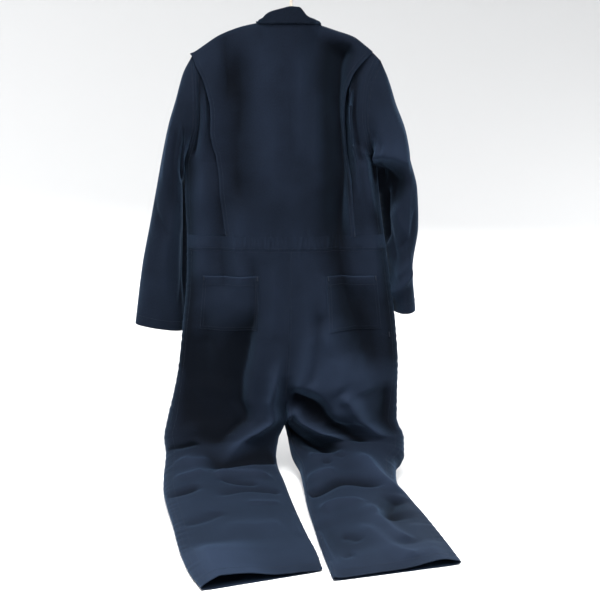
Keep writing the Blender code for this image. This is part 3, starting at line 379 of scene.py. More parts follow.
FRONT_FOLDS = {
    "left": [
        Fold(((0.55, 0.12), (0.44, 0.34), (0.40, 0.62)), 0.026, 0.034, -0.012),
        Fold(((0.30, 0.20), (0.32, 0.50), (0.36, 0.80)), 0.026, 0.030, 0.008),
        Fold(((0.72, 0.24), (0.68, 0.40), (0.74, 0.60)), 0.014, 0.020, 0.007),
        Fold(((0.86, 0.30), (0.84, 0.46), (0.88, 0.66)), 0.012, 0.016, -0.006),
        Fold(((0.16, 0.84), (0.40, 0.92), (0.80, 0.99)), 0.014, 0.024, -0.010),
        Fold(((0.10, 0.78), (0.34, 0.86), (0.66, 0.92)), 0.012, 0.018, 0.008),
        Fold(((0.52, 0.64), (0.56, 0.76), (0.66, 0.88)), 0.014, 0.018, -0.006),
    ],
    "right": [
        Fold(((0.50, 0.10), (0.46, 0.34), (0.48, 0.60)), 0.030, 0.026, -0.012),
        Fold(((0.24, 0.22), (0.28, 0.50), (0.30, 0.78)), 0.028, 0.030, 0.007),
        Fold(((0.70, 0.22), (0.74, 0.42), (0.70, 0.62)), 0.016, 0.014, 0.006),
        Fold(((0.84, 0.28), (0.88, 0.44), (0.84, 0.60)), 0.014, 0.012, -0.007),
        Fold(((0.20, 0.86), (0.50, 0.90), (0.85, 0.96)), 0.014, 0.024, -0.010),
        Fold(((0.12, 0.80), (0.36, 0.84), (0.60, 0.88)), 0.014, 0.016, 0.007),
        Fold(((0.60, 0.62), (0.62, 0.74), (0.56, 0.86)), 0.014, 0.016, -0.006),
    ],
}
FOLD_FADE = 0.14  # share of a panel's width, by which folds fade out at the centre line
FOLD_TOP_FADE = 0.07  # down, by which they fade out at the shoulder seam
FOLD_SIDE_RISE = 2.5  # how fast they rise again from the side seam
FOLD_STEPS = 6  # to each stretch of a fold's path
FOLD_REACH = 3.4  # widths from its path, beyond which a fold is left out
FOLD_ENDS = 0.22  # share of the path, by which a fold fades in and out
FOLD_CREST = 1.5  # 2 for a round crest, nearer 1 for a crisp one
FOLD_DEPTH = 1.5  # of the body's folds, times the heights in their tables


def read(table, column, at):
    """The column's values at places along the table, on a smooth curve through its rows."""
    where = np.array([row[0] for row in table])
    what = np.array([getattr(row, column) for row in table])
    steps = np.diff(what) / np.diff(where)
    slopes = np.concatenate([steps[:1], np.zeros(len(steps) - 1), steps[-1:]])
    same_way = steps[:-1] * steps[1:] > 0
    total = np.where(same_way, steps[:-1] + steps[1:], 1.0)
    slopes[1:-1] = np.where(same_way, 2 * steps[:-1] * steps[1:] / total, 0.0)
    at = np.clip(at, where[0], where[-1])
    k = np.clip(np.searchsorted(where, at) - 1, 0, len(where) - 2)
    gap = where[k + 1] - where[k]
    f = (at - where[k]) / gap
    rise = what[k] * (1 + 2 * f) * (1 - f) ** 2 + what[k + 1] * (3 - 2 * f) * f**2
    return rise + gap * (slopes[k] * f * (1 - f) ** 2 - slopes[k + 1] * (1 - f) * f**2)


def smooth_step(x):
    x = np.clip(x, 0.0, 1.0)
    return x * x * (3 - 2 * x)


def curve_through(points, steps):
    """A smooth curve through the points, in straight steps."""
    p = np.array(points, float)
    p = np.concatenate([2 * p[:1] - p[1:2], p, 2 * p[-1:] - p[-2:-1]])
    f = np.linspace(0.0, 1.0, steps + 1)[:-1, None]
    runs = []
    for a, b, c, d in zip(p, p[1:], p[2:], p[3:]):
        bend = 2 * a - 5 * b + 4 * c - d
        runs.append(b + 0.5 * f * (c - a + f * (bend + f * (3 * (b - c) + d - a))))
    return np.concatenate([*runs, p[-2:-1]])


def fallen(down):
    """The way down as the cloth falls, even where the rows bunch at the shoulder and the underarm."""
    part = np.clip(down / UNDERARM_DOWN, 0.0, 1.0)
    return np.where(down < UNDERARM_DOWN, UNDERARM_DOWN * (1 - np.cos(math.pi * part)) / 2, down)


def fold_height(folds, across, down, width):
    """The sum of the folds at places on a panel, as heights out of it."""
    height = np.zeros(np.shape(across))
    for fold in folds:
        path = curve_through(fold.path, FOLD_STEPS)
        reach = FOLD_REACH * max(fold.out, fold.inside)
        part = reach / np.min(width)
        near = (across > path[:, 0].min() - part) & (across < path[:, 0].max() + part)
        near &= (down > path[:, 1].min() - reach) & (down < path[:, 1].max() + reach)
        if not near.any():
            continue
        a, d, w = across[near], down[near], np.broadcast_to(width, across.shape)[near]
        best = np.full(a.shape, np.inf)
        side = np.zeros(a.shape)
        along = np.zeros(a.shape)
        for k, (start, end) in enumerate(zip(path, path[1:])):
            run_a, run_d = (end[0] - start[0]) * w, end[1] - start[1]
            here_a, here_d = (a - start[0]) * w, d - start[1]
            length = np.maximum(run_a**2 + run_d**2, 1e-12)
            t = (here_a * run_a + here_d * run_d) / length
            held = np.clip(t, 0.0, 1.0)
            far = np.hypot(here_a - held * run_a, here_d - held * run_d)
            nearer = far < best
            best = np.where(nearer, far, best)
            side = np.where(nearer, here_a * run_d - here_d * run_a, side)
            along = np.where(nearer, (k + held) / (len(path) - 1), along)
        spread = best / np.where(side > 0, fold.out, fold.inside)
        ends = smooth_step(along / FOLD_ENDS) * smooth_step((1 - along) / FOLD_ENDS)
        height[near] += fold.height * ends * np.exp(-(spread**FOLD_CREST))
    return height


def ripple(seed, across_m, down_m, count=26, shortest=0.03, longest=0.16):
    """Soft uneven waves, longer down the cloth than across it, between about -1 and 1."""
    draw = np.random.default_rng(seed)
    total = np.zeros(np.broadcast(across_m, down_m).shape)
    for _ in range(count):
        pitch = shortest * (longest / shortest) ** draw.random()
        lean = draw.normal(0.0, 0.5)
        phase = draw.random() * 2 * math.pi
        way = across_m * math.cos(lean) + down_m * math.sin(lean) * 0.6
        total = total + math.sqrt(pitch / longest) * np.sin(2 * math.pi * way / pitch + phase)
    return total / math.sqrt(count)


def shoulder_height(side, out, face):
    line = read(SHOULDER[side], "height", out)
    arc = np.sqrt(np.maximum(0.0, 1 - (out / NECK_HALF_WIDTH) ** 2))
    middle = (SHOULDER["left"][0].height + SHOULDER["right"][0].height) / 2
    rim = middle + (SHOULDER[side][0].height - middle) * (1 - arc)
    return np.where(out >= NECK_HALF_WIDTH, line, rim + (NECK_HEIGHT[face] - rim) * arc)


def shoulder_point(side, face, share, down):
    """Points above the underarm. share is 0 at the centre line and 1 at the armhole."""
    v = down / UNDERARM_DOWN
    drop = (1 - np.cos(math.pi * v)) / 2
    top_out = SHOULDER[side][-1].out * share
    top = shoulder_height(side, top_out, face)
    height = top + (UNDERARM_HEIGHT - top) * drop
    across = np.sqrt(np.maximum(0.0, 1 - share**2))
    neck = NECK_DEPTH[face] * np.maximum(0.0, 1 - (top_out / NECK_HALF_WIDTH) ** 2) ** (0.5 + 3.0 * v)
    full = getattr(SECTIONS[side][0], face) * across
    depth = neck + (full - neck) * np.sin(math.pi * v / 2) ** 0.63
    depth = depth + ARMHOLE_DEPTH * np.sin(math.pi * v) ** 2 * (1 - across) ** 1.3
    x = SIGN[side] * read(ARMHOLE[side], "out", drop) * share
    x = x + SECTIONS[side][0].inner * v * (1 - share)
    return np.stack([x, depth * (-1 if face == "back" else 1), height], axis=-1)


def section_point(side, face, share, down):
    """Points below the underarm, on the trunk's half section or on the leg's section."""
    rows = SECTIONS[side]
    leg, inner, outer = (read(rows, c, down) for c in ("leg", "inner", "outer"))
    y, height = read(rows, "y", down), read(rows, "height", down)
    slope_y = read(rows, "y", down + SPACING) - read(rows, "y", down - SPACING)
    slope_z = read(rows, "height", down + SPACING) - read(rows, "height", down - SPACING)
    steep = np.hypot(slope_y, slope_z)
    turn = np.radians(read(rows, "turn", down))
    rest = np.sqrt(np.maximum(0.0, 1 - share**2))
    along = (1 - leg) * share + leg * share**2
    bulge = (1 - leg) * rest + leg * (2 * share * rest) ** LEG_CURL[face]
    out = read(rows, face, down) * bulge * (1 if face == "back" else -1)
    over = (outer - inner) / 2 * (2 * along - 1)
    x = (inner + outer) / 2 + np.cos(turn) * over
    y = y + np.sin(turn) * over + slope_z / steep * out
    return np.stack([x, y, height - slope_y / steep * out], axis=-1)


def side_width(side, down):
    """From the centre line or the inseam out to the side seam."""
    rows = SECTIONS[side]
    return np.abs(read(rows, "outer", down) - read(rows, "inner", down))


def body(side, face, share, down):
    """Points of the trunk or leg, no lower than the floor, and how far its folds stand out there."""
    share, down = np.broadcast_arrays(np.asarray(share, float), np.asarray(down, float))
    high = shoulder_point(side, face, share, np.minimum(down, UNDERARM_DOWN))
    low = section_point(side, face, share, np.maximum(down, UNDERARM_DOWN))
    point = np.where((down < UNDERARM_DOWN)[..., None], high, low)
    width = side_width(side, down)
    folds = (BACK_FOLDS if face == "back" else FRONT_FOLDS)[side]
    rest = np.sqrt(np.maximum(0.0, 1 - share**2))
    hold = np.minimum(1.0, FOLD_SIDE_RISE * rest) * np.minimum(1.0, share / FOLD_FADE)
    hold = hold * np.minimum(1.0, down / FOLD_TOP_FADE)
    seed = {"left": 3, "right": 7}[side] + (face == "front")
    calm = 1 - 0.55 * smooth_step((down - WAVE_CALM_DOWN) / 0.2)
    fall = fallen(down)
    paths = [[(a, float(fallen(np.array(d)))) for a, d in fold.path] for fold in folds]
    folds = [fold._replace(path=path) for fold, path in zip(folds, paths)]
    height = FOLD_DEPTH * fold_height(folds, share, fall, width)
    height = (height + WAVE * calm * ripple(seed, share * width, fall)) * hold
    lean = np.clip((down - LIE_DOWN) / LIE_REACH, 0.0, 1.0)
    if face == "back":
        way = np.stack([np.zeros_like(lean), lean - 1.0, lean], axis=-1)
    else:
        way = np.stack([np.zeros_like(lean), 1.0 - lean, np.zeros_like(lean)], axis=-1)
    point = point + height[..., None] * way
    point[..., 2] = np.maximum(point[..., 2], FLOOR_GAP[face])
    return point, height


def unit(ways):
    return ways / np.maximum(np.linalg.norm(ways, axis=-1, keepdims=True), 1e-9)


def outward(points, sign, loop=False):
    """The way out at each point of a grid."""
    down = np.gradient(points, axis=0)
    if loop:
        along = np.roll(points, -1, axis=1) - np.roll(points, 1, axis=1)
    else:
        along = np.gradient(points, axis=1)
    return unit(np.cross(along, down) * sign)


def soft_edges(first, last, spacing):
    """Places from first to last, with close ones at both ends for a rolled seam."""
    count = max(2, round(abs(last - first) / spacing))
    even = np.linspace(first, last, count + 1)
    step = math.copysign(EDGE_SOFT, last - first)
    close = [first + step, first + 2 * step, last - 2 * step, last - step]
    return np.array(sorted(np.concatenate([even, close]), reverse=last < first))


def rolled(rows, columns, loop=False, flat_ends=False):
    """How far a grid's outer face rolls in: at its rims, and not in its middle."""
    roll = np.zeros((rows, columns))
    dips = np.array(SEAM_DIPS)
    if not flat_ends:
        roll[:3] = dips[:, None]
        roll[-3:] = dips[::-1, None]
    if not loop:
        roll[:, :3] = np.maximum(roll[:, :3], dips)
        roll[:, -3:] = np.maximum(roll[:, -3:], dips[::-1])
    return roll


def cut_map(points):
    """Each point's place on its panel laid out, in metres from the top of the middle column."""
    rows, columns = points.shape[:2]
    steps = np.linalg.norm(np.diff(points, axis=1), axis=2)
    across = np.concatenate([np.zeros((rows, 1)), np.cumsum(steps, axis=1)], axis=1)
    across -= across[:, columns // 2 : columns // 2 + 1]
    falls = np.linalg.norm(np.diff(points, axis=0), axis=2).mean(axis=1)
    down = np.broadcast_to(np.concatenate([[0.0], np.cumsum(falls)])[:, None], (rows, columns))
    return np.stack([across, -down], axis=-1).reshape(-1, 2)


def cloth(name, points, normals, lift=0.0, thickness=CLOTH, loop=False, folded=0.0, flat_ends=False):
    """A closed thin shell of cloth whose outer face is the grid, lifted. folded is how far each
    place stands out, which its painted shade and painted light follow."""
    rows, columns = points.shape[:2]
    lift = np.asarray(lift, float) - rolled(rows, columns, loop, flat_ends)
    outer = points + normals * lift[..., None]
    inner = outer - normals * thickness
    outer[..., 2] = np.maximum(outer[..., 2], 0.0004)
    inner[..., 2] = np.maximum(inner[..., 2], 0.0002)
    spots = np.concatenate([outer.reshape(-1, 3), inner.reshape(-1, 3)]) - (0.0, 0.0, HANG_HEIGHT)
    index = np.arange(rows * columns).reshape(rows, columns)
    if loop:
        index = np.concatenate([index, index[:, :1]], axis=1)
    a, b, c, d = index[:-1, :-1], index[:-1, 1:], index[1:, 1:], index[1:, :-1]
    under = rows * columns
    quads = [np.stack([a, d, c, b], -1).reshape(-1, 4)]
    quads.append(np.stack([a, b, c, d], -1).reshape(-1, 4) + under)
    rims = [index[0], index[-1][::-1]] + ([] if loop else [index[::-1, 0], index[:, -1]])
    for rim in rims:
        quads.append(np.stack([rim[:-1], rim[1:], rim[1:] + under, rim[:-1] + under], -1))
    faces = np.concatenate(quads)
    turned = np.cross(spots[faces[0][1]] - spots[faces[0][0]], spots[faces[0][2]] - spots[faces[0][1]])
    if turned @ normals[0, 0] < 0:
        faces = faces[:, ::-1]
    mesh = bpy.data.meshes.new(name)
    mesh.from_pydata(spots.tolist(), [], faces.tolist())
    layer = mesh.uv_layers.new(name="cut")
    layer.data.foreach_set("uv", np.tile(cut_map(points), (2, 1))[faces.reshape(-1)].reshape(-1))
    # painted shading: how far each place stands out, which the material paints as shade in hollows and
    # light on crowns
    painted_shading = np.tile(np.broadcast_to(folded, (rows, columns)).reshape(-1), 2)
    mesh.attributes.new("painted_shading", "FLOAT", "POINT").data.foreach_set("value", painted_shading)
    mesh.shade_smooth()
    mesh.materials.append(twill)
    return add_object(name, mesh)


PAINTED_SHADING_RANGE = 0.018  # how far in or out a fold is where its painted shade is darkest or its painted light palest
TWILL_RIB = 0.0011  # from one diagonal rib to the next


def weave_group():
    """Shader group: a 2/1 twill's diagonal ribs, with uneven yarns, from a map in metres."""
    group = bpy.data.node_groups.new("twill_weave", "ShaderNodeTree")
    for name, kind, value in (("Map", "NodeSocketVector", None), ("Rib", "NodeSocketFloat", TWILL_RIB)):
        socket = group.interface.new_socket(name, in_out="INPUT", socket_type=kind)
        if value is not None:
            socket.default_value = value
    group.interface.new_socket("Height", in_out="OUTPUT", socket_type="NodeSocketFloat")
    group.interface.new_socket("Yarn", in_out="OUTPUT", socket_type="NodeSocketFloat")
    nodes, links = group.nodes, group.links
    inside = nodes.new("NodeGroupInput")
    outside = nodes.new("NodeGroupOutput")
    parts = nodes.new("ShaderNodeSeparateXYZ")
    links.new(inside.outputs["Map"], parts.inputs[0])

    def maths(kind, a, b=None):
        node = nodes.new("ShaderNodeMath")
        node.operation = kind
        for place, value in enumerate((a, b)):
            if value is None:
                continue
            if isinstance(value, (int, float)):
                node.inputs[place].default_value = value
            else:
                links.new(value, node.inputs[place])
        return node.outputs[0]

    slant = maths("ADD", parts.outputs[0], maths("MULTIPLY", parts.outputs[1], 0.65))
    turns = maths("DIVIDE", maths("MULTIPLY", slant, 2 * math.pi), inside.outputs["Rib"])
    rib = maths("ADD", maths("MULTIPLY", maths("SINE", turns), 0.5), 0.5)
    weft = maths("DIVIDE", maths("MULTIPLY", parts.outputs[1], 2 * math.pi), inside.outputs["Rib"])
    tuck = maths("ADD", maths("MULTIPLY", maths("SINE", weft), 0.25), 0.75)
    links.new(maths("MULTIPLY", rib, tuck), outside.inputs["Height"])
    slub = add_node(group, "ShaderNodeTexNoise", {"Scale": 260.0, "Detail": 3.0})
    links.new(inside.outputs["Map"], slub.inputs["Vector"])
    links.new(slub.outputs["Fac"], outside.inputs["Yarn"])
    return group


def coloured(tree, factor, dark, light):
    """Joins an output to the shader's colour, from dark at its least to light at its most."""
    ramp = tree.nodes.new("ShaderNodeValToRGB")
    ramp.color_ramp.elements[0].color = (*dark, 1.0)
    ramp.color_ramp.elements[1].color = (*light, 1.0)
    tree.links.new(factor, ramp.inputs["Fac"])
    tree.links.new(ramp.outputs["Color"], tree.nodes["Principled BSDF"].inputs["Base Color"])


def twill_material(name, deep, light):
    """Navy twill, with painted shade in its folds, painted light on its crowns and a bluish nap."""
    made = add_material(
        name,
        {
            "Roughness": 0.82,
            "Specular IOR Level": 0.04,
            "Sheen Weight": 0.12,
            "Sheen Roughness": 0.45,
            "Sheen Tint": (0.34, 0.60, 1.0, 1.0),
        },
    )
    tree = made.node_tree
    nodes, links = tree.nodes, tree.links
    place = nodes.new("ShaderNodeUVMap")
    place.uv_map = "cut"
    weave = nodes.new("ShaderNodeGroup")
    weave.node_tree = TWILL_WEAVE
    links.new(place.outputs["UV"], weave.inputs["Map"])
    where = nodes.new("ShaderNodeTexCoord")
    cloudy = add_node(tree, "ShaderNodeTexNoise", {"Scale": 9.0, "Detail": 5.0, "Roughness": 0.6})
    links.new(where.outputs["Object"], cloudy.inputs["Vector"])
    painted_shading = nodes.new("ShaderNodeAttribute")
    painted_shading.attribute_name = "painted_shading"
    painted_light = add_node(tree, "ShaderNodeMapRange", {"From Min": -PAINTED_SHADING_RANGE, "From Max": PAINTED_SHADING_RANGE})
    links.new(painted_shading.outputs["Fac"], painted_light.inputs["Value"])

    def mixed(first, second, scale):
        node = nodes.new("ShaderNodeMath")
        node.operation = "MULTIPLY_ADD"
        links.new(first, node.inputs[0])
        node.inputs[1].default_value = scale
        if isinstance(second, float):
            node.inputs[2].default_value = second
        else:
            links.new(second, node.inputs[2])
        return node.outputs[0]

    # painted shade and light: the fold height darkens the hollows and lightens the crowns
    tone = mixed(painted_light.outputs["Result"], -0.54, 0.88)
    tone = mixed(cloudy.outputs["Fac"], tone, 0.55)
    tone = mixed(weave.outputs["Height"], tone, 0.22)
    tone = mixed(weave.outputs["Yarn"], tone, 0.36)
    coloured(tree, tone, deep, light)
    bump = add_node(tree, "ShaderNodeBump", {"Strength": 0.45, "Distance": 0.00035})
    links.new(weave.outputs["Height"], bump.inputs["Height"])
    links.new(bump.outputs["Normal"], nodes["Principled BSDF"].inputs["Normal"])
    return made


TWILL_WEAVE = weave_group()
twill = twill_material("navy_twill", (0.0012, 0.0018, 0.0034), (0.0114, 0.0176, 0.0328))


def finished(piece, *nodes, flat=None, area=None, held="hung"):
    """Attaches a piece of cloth to the root and hides the nodes that it stands for; the size that it
    was cut to, flat and area, and held are not used.
    """
    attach(piece, "root")
    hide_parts(*nodes)


def pleat(side, column, down):
    """A column of the pleat's table, on a line that is smooth as the cloth falls."""
    table = [row._replace(down=float(fallen(np.array(row.down)))) for row in PLEAT[side]]
    return read(table, column, fallen(down))


ELASTIC_SHARE = 0.56
HALF_WAIST = 0.245
GATHER = 0.0024  # a gather's height
GATHERS = (0.04, 0.07, 0.115, 0.16, 0.20, 0.235, 0.29, 0.33, 0.385, 0.43, 0.47, 0.53, 0.575, 0.63)


def gathers(side, share, down):
    """The elastic's gathers: sharp little ridges in the casing that die out above and below it."""
    draw = np.random.default_rng(11 if side == "left" else 12)
    height = np.zeros(np.broadcast(share, down).shape)
    middle = (CASING_TOP_DOWN + CASING_FOOT_DOWN) / 2
    for place in GATHERS:
        size = draw.uniform(0.5, 1.2)
        reach = draw.uniform(0.016, 0.034)
        lean = draw.uniform(-0.25, 0.25)
        away = (share - place) * HALF_WAIST - (down - middle) * lean
        thin = draw.uniform(0.0022, 0.0042)
        height += size * np.exp(-((away / thin) ** 2)) * np.exp(-(((down - middle) / reach) ** 2))
    return GATHER * height * smooth_step((ELASTIC_SHARE - share) / 0.1 + 0.5)


PANEL_DOWNS = soft_edges(0.0, CASING_TOP_DOWN, SPACING)
HALF_COLUMNS = 52  # of half the back
HALF_BACK = 0.22
PANEL_LIFT = 0.0004  # over the underlay
EDGE_PAINTED_HIGHLIGHT = 0.020  # painted highlight along the free edges, as a height of painted shading
HIGHLIGHT_COLUMNS = 1.6  # how many columns in from the edge that reaches
SHOULDER_TIP = {"left": 0.009, "right": 0.002}  # how far its top corner sticks out over the sleeve
TIP_DOWN = 0.045  # how far down the edge it does


def joined(left, right):
    """A panel's two halves as one grid, which share the column on the centre line."""
    return np.concatenate([left[:, ::-1], right[:, 1:]], axis=1)


def centre_back():
    halves = []
    for side in ("left", "right"):
        edge = pleat(side, "share", PANEL_DOWNS)
        span = np.linspace(0.0, 1.0, HALF_COLUMNS)
        span = np.sort(np.append(span, 1 - np.array([1.0, 2.0]) * EDGE_SOFT / HALF_BACK))
        share = np.sin(np.arcsin(edge)[:, None] * span)
        points, relief = body(side, "back", share, PANEL_DOWNS[:, None])
        tip = SHOULDER_TIP[side] * span**10 * np.exp(-((PANEL_DOWNS[:, None] / TIP_DOWN) ** 2))
        points = points + tip[..., None] * np.array([SIGN[side], -0.5, 0.1])
        halves.append((points, relief, gathers(side, share, PANEL_DOWNS[:, None])))
    points, relief, lift = (joined(*pair) for pair in zip(*halves))
    out = outward(points, -1.0)
    edges = np.minimum(np.arange(points.shape[1]), np.arange(points.shape[1])[::-1])
    # a painted highlight along the panel's free edges, where the edge catches light
    painted_light = EDGE_PAINTED_HIGHLIGHT * np.exp(-((edges / HIGHLIGHT_COLUMNS) ** 2)) * (PANEL_DOWNS[:, None] > 0.01)
    shade = relief + lift + painted_light
    lift = lift + PANEL_LIFT
    piece = cloth("centre_back_panel", points, out, lift, FACED_CLOTH, folded=shade, flat_ends=True)
    finished(piece, "back_centre", flat=(0.47, 0.55), area=0.206)


centre_back()

# ---- Side backs --------------------------------------------------------------------------------
# A narrow panel from each armhole and side seam, of the same twill. Its inner part runs in under
# the centre panel as the pleat's underlay, so that the back can open when the arms reach forward.
PLEAT_UNDERLAP = 0.24  # share of the half back that lies under the centre panel
PLEAT_OUT = 0.62  # share of the way out to the armhole, by which the underlay has come up
PLEAT_GAP = 0.0012  # between the underlay and the centre panel, where they lie closest
SIDE_PAINTED_SHADE = 0.034  # painted shade on a side seam beside the sleeve, as a depth of painted shading
SIDE_PAINTED_SHADE_WIDTH = 0.020
SLEEVE_COVERS = (0.22, 0.86)  # down, from where to where the sleeve hangs beside it
COVER_FADE = 0.10
HALF_SEAT = 0.25


def pleat_depth(side, share, down):
    """How far the side back lies in at a place: all of it under the edge, and none further out."""
    edge = pleat(side, "share", down)
    recess = CLOTH + PLEAT_GAP + pleat(side, "recess", down)
    out = (share - edge) / np.maximum(1e-3, (1 - edge) * PLEAT_OUT)
    return recess * (1 - smooth_step(out))


def painted_shade_beside_sleeve(share, down):
    """Painted shade on the strip of the trunk's side, which the hanging sleeve covers."""
    shade_strip = np.exp(-(((1 - share) * HALF_SEAT / SIDE_PAINTED_SHADE_WIDTH) ** 2))
    first, last = SLEEVE_COVERS
    shade_strip = shade_strip * smooth_step((down - first) / COVER_FADE) * smooth_step((last - down) / COVER_FADE)
    return SIDE_PAINTED_SHADE * shade_strip


def side_back(side):
    edge = pleat(side, "share", PANEL_DOWNS)[:, None]
    span = soft_edges(0.0, 1.0, 0.035)
    first, last = np.arcsin(np.maximum(edge - PLEAT_UNDERLAP, 0.02)), math.pi / 2
    share = np.sin(first + (last - first) * np.clip(span, 0.0, 1.0))
    downs = PANEL_DOWNS[:, None]
    points, relief = body(side, "back", share, downs)
    lift = -pleat_depth(side, share, downs)
    piece = cloth(
        "side_back_panel_" + side,
        points,
        outward(points, -SIGN[side]),
        lift,
        # painted shade on the side strip beside the hanging sleeve
        folded=relief + lift - painted_shade_beside_sleeve(share, downs),
        flat_ends=True,
    )
    finished(piece, "side_back_" + side, flat=(0.19, 0.55), area=0.075)


for side in SIGN:
    side_back(side)

# ---- Fronts ------------------------------------------------------------------------------------
# Each front is one piece of twill from the shoulder seam to the waist seam. It is stitched to the
# back at the shoulder and the side, and its centre edge is faced for the snaps.


def trunk_front(side):
    span = soft_edges(0.0, 1.0, 0.022)
    downs = soft_edges(0.0, CASING_FOOT_DOWN, 0.006)[:, None]
    share = np.sin(np.clip(span, 0.0, 1.0) * math.pi / 2)[None, :]
    points, relief = body(side, "front", share, downs)
    piece = cloth("front_panel_" + side, points, outward(points, SIGN[side]), folded=relief)
    finished(piece, "front_" + side, flat=(0.30, 0.60), area=0.150)


for side in SIGN:
    trunk_front(side)

# ---- Waist casing ------------------------------------------------------------------------------
# A band over the back waist, stitched along both edges, with elastic run through its middle part.
# The elastic draws the twill into small uneven upright gathers.
CASING_LIFT = 0.0003


def waist_casing():
    downs = soft_edges(CASING_TOP_DOWN, CASING_FOOT_DOWN, 0.0028)[:, None]
    span = np.sin(soft_edges(0.0, 1.0, 0.006).clip(0.0, 1.0) * math.pi / 2)
    halves = [body(side, "back", span[None, :], downs) for side in SIGN]
    lifts = [gathers(side, span[None, :], downs) for side in SIGN]
    points, relief = (joined(*pair) for pair in zip(*halves))
    lift = joined(*lifts)
    out = outward(points, -1.0)
    # painted shade and light, following the folds and twice the gathers' height
    shade = relief + 2 * lift
    lift = lift + CASING_LIFT
    piece = cloth("elastic_waist_casing", points, out, lift, folded=shade, flat_ends=True)
    finished(piece, "waist_casing", flat=(0.56, 0.040), held="gathered")


waist_casing()

# ---- Trouser backs and fronts ------------------------------------------------------------------
# Each leg is a back and a front of the same twill, stitched at the side seam and the inseam. They
# hang from the waist seam, meet their pair at the seat seam, and lie forward on the floor from the
# knees down, open at the hem.
POCKET_TOP_DOWN = 0.596
POCKET_FOOT_DOWN = 0.729
FORK_DOWN = 0.960
HEM_DOWN = {"left": 1.670, "right": 1.635}
PUCKER = 0.0005  # height of the small waves that stitching draws up beside a seam
PUCKER_REACH = 0.012


def puckers(seed, away, along):
    """Little waves across a seam that die out away from it. away and along are in metres."""
    wave = ripple(seed, along, 0.0 * along, count=7, shortest=0.011, longest=0.026)
    return PUCKER * wave * np.exp(-((away / PUCKER_REACH) ** 2))


def trouser(side, face):
    downs = soft_edges(CASING_FOOT_DOWN, HEM_DOWN[side], SPACING)[:, None]
    span = soft_edges(0.0, 1.0, SPACING / 0.32 if face == "back" else 0.02).clip(0.0, 1.0)
    share = np.sin(span * math.pi / 2)[None, :] + 0.0 * downs
    points, relief = body(side, face, share, downs)
    width = side_width(side, downs)
    lift = puckers(21, share * width, downs) + puckers(22, (1 - share) * width, downs)
    if face == "back":
        lift = lift + gathers(side, share, downs)
        # painted shade on the side strip beside the hanging sleeve
        relief = relief - painted_shade_beside_sleeve(share, downs)
    sign = SIGN[side] * (-1.0 if face == "back" else 1.0)
    name = f"trouser_{face}_panel_{side}"
    # painted shade and light follow the folds, the puckers and the gathers
    piece = cloth(name, points, outward(points, sign), lift, folded=relief + lift, flat_ends=True)
    length = HEM_DOWN[side] - CASING_FOOT_DOWN + 0.03
    finished(piece, f"trouser_{face}_{side}", flat=(0.34, length), area=0.30 * length)


for side in SIGN:
    trouser(side, "back")
    trouser(side, "front")

# ---- Back pockets ------------------------------------------------------------------------------
# A patch pocket on each side of the seat, of the same twill, its mouth turned down in a hem and its
# other three edges turned under and topstitched, with bartacks at the mouth's corners.
POCKET_EDGES = {"left": (0.295, 0.835), "right": (0.360, 0.860)}
POCKET_LIFT = 0.0013
POCKET_BELLY = 0.0022  # how far its middle stands off the seat
POCKET_GAPE = 0.0016  # and how much further its mouth does
POCKET_HEM = 0.022  # depth of the hem at its mouth
MOUTH_HIGHLIGHT_REACH = 0.0022  # how far down from the mouth its painted highlight reaches


def back_pocket(side):
    first, last = (math.asin(share) for share in POCKET_EDGES[side])
    share = np.sin(soft_edges(first, last, 0.016))[None, :]
    downs = soft_edges(POCKET_TOP_DOWN, POCKET_FOOT_DOWN, 0.0035)[:, None]
    points, relief = body(side, "back", share, downs)
    across = (share - POCKET_EDGES[side][0]) / (POCKET_EDGES[side][1] - POCKET_EDGES[side][0])
    way = (downs - POCKET_TOP_DOWN) / (POCKET_FOOT_DOWN - POCKET_TOP_DOWN)
    middle = np.sin(math.pi * across.clip(0, 1))
    belly = POCKET_BELLY * middle * np.sin(math.pi * way.clip(0, 1)) ** 0.7
    gape = POCKET_GAPE * middle**2 * np.exp(-((way / 0.10) ** 2))
    hem = 0.0006 * (downs < POCKET_TOP_DOWN + POCKET_HEM)
    # a painted highlight along the pocket's mouth
    painted_light = EDGE_PAINTED_HIGHLIGHT * np.exp(-(((downs - POCKET_TOP_DOWN) / MOUTH_HIGHLIGHT_REACH) ** 2))
    piece = cloth(
        "seat_pocket_" + side,
        points,
        outward(points, -SIGN[side]),
        POCKET_LIFT + belly + gape + hem,
        thickness=0.0011,
        folded=relief + belly + painted_light,
    )
    finished(piece, "pocket_" + side, flat=(0.15, 0.16))


for side in SIGN:
    back_pocket(side)

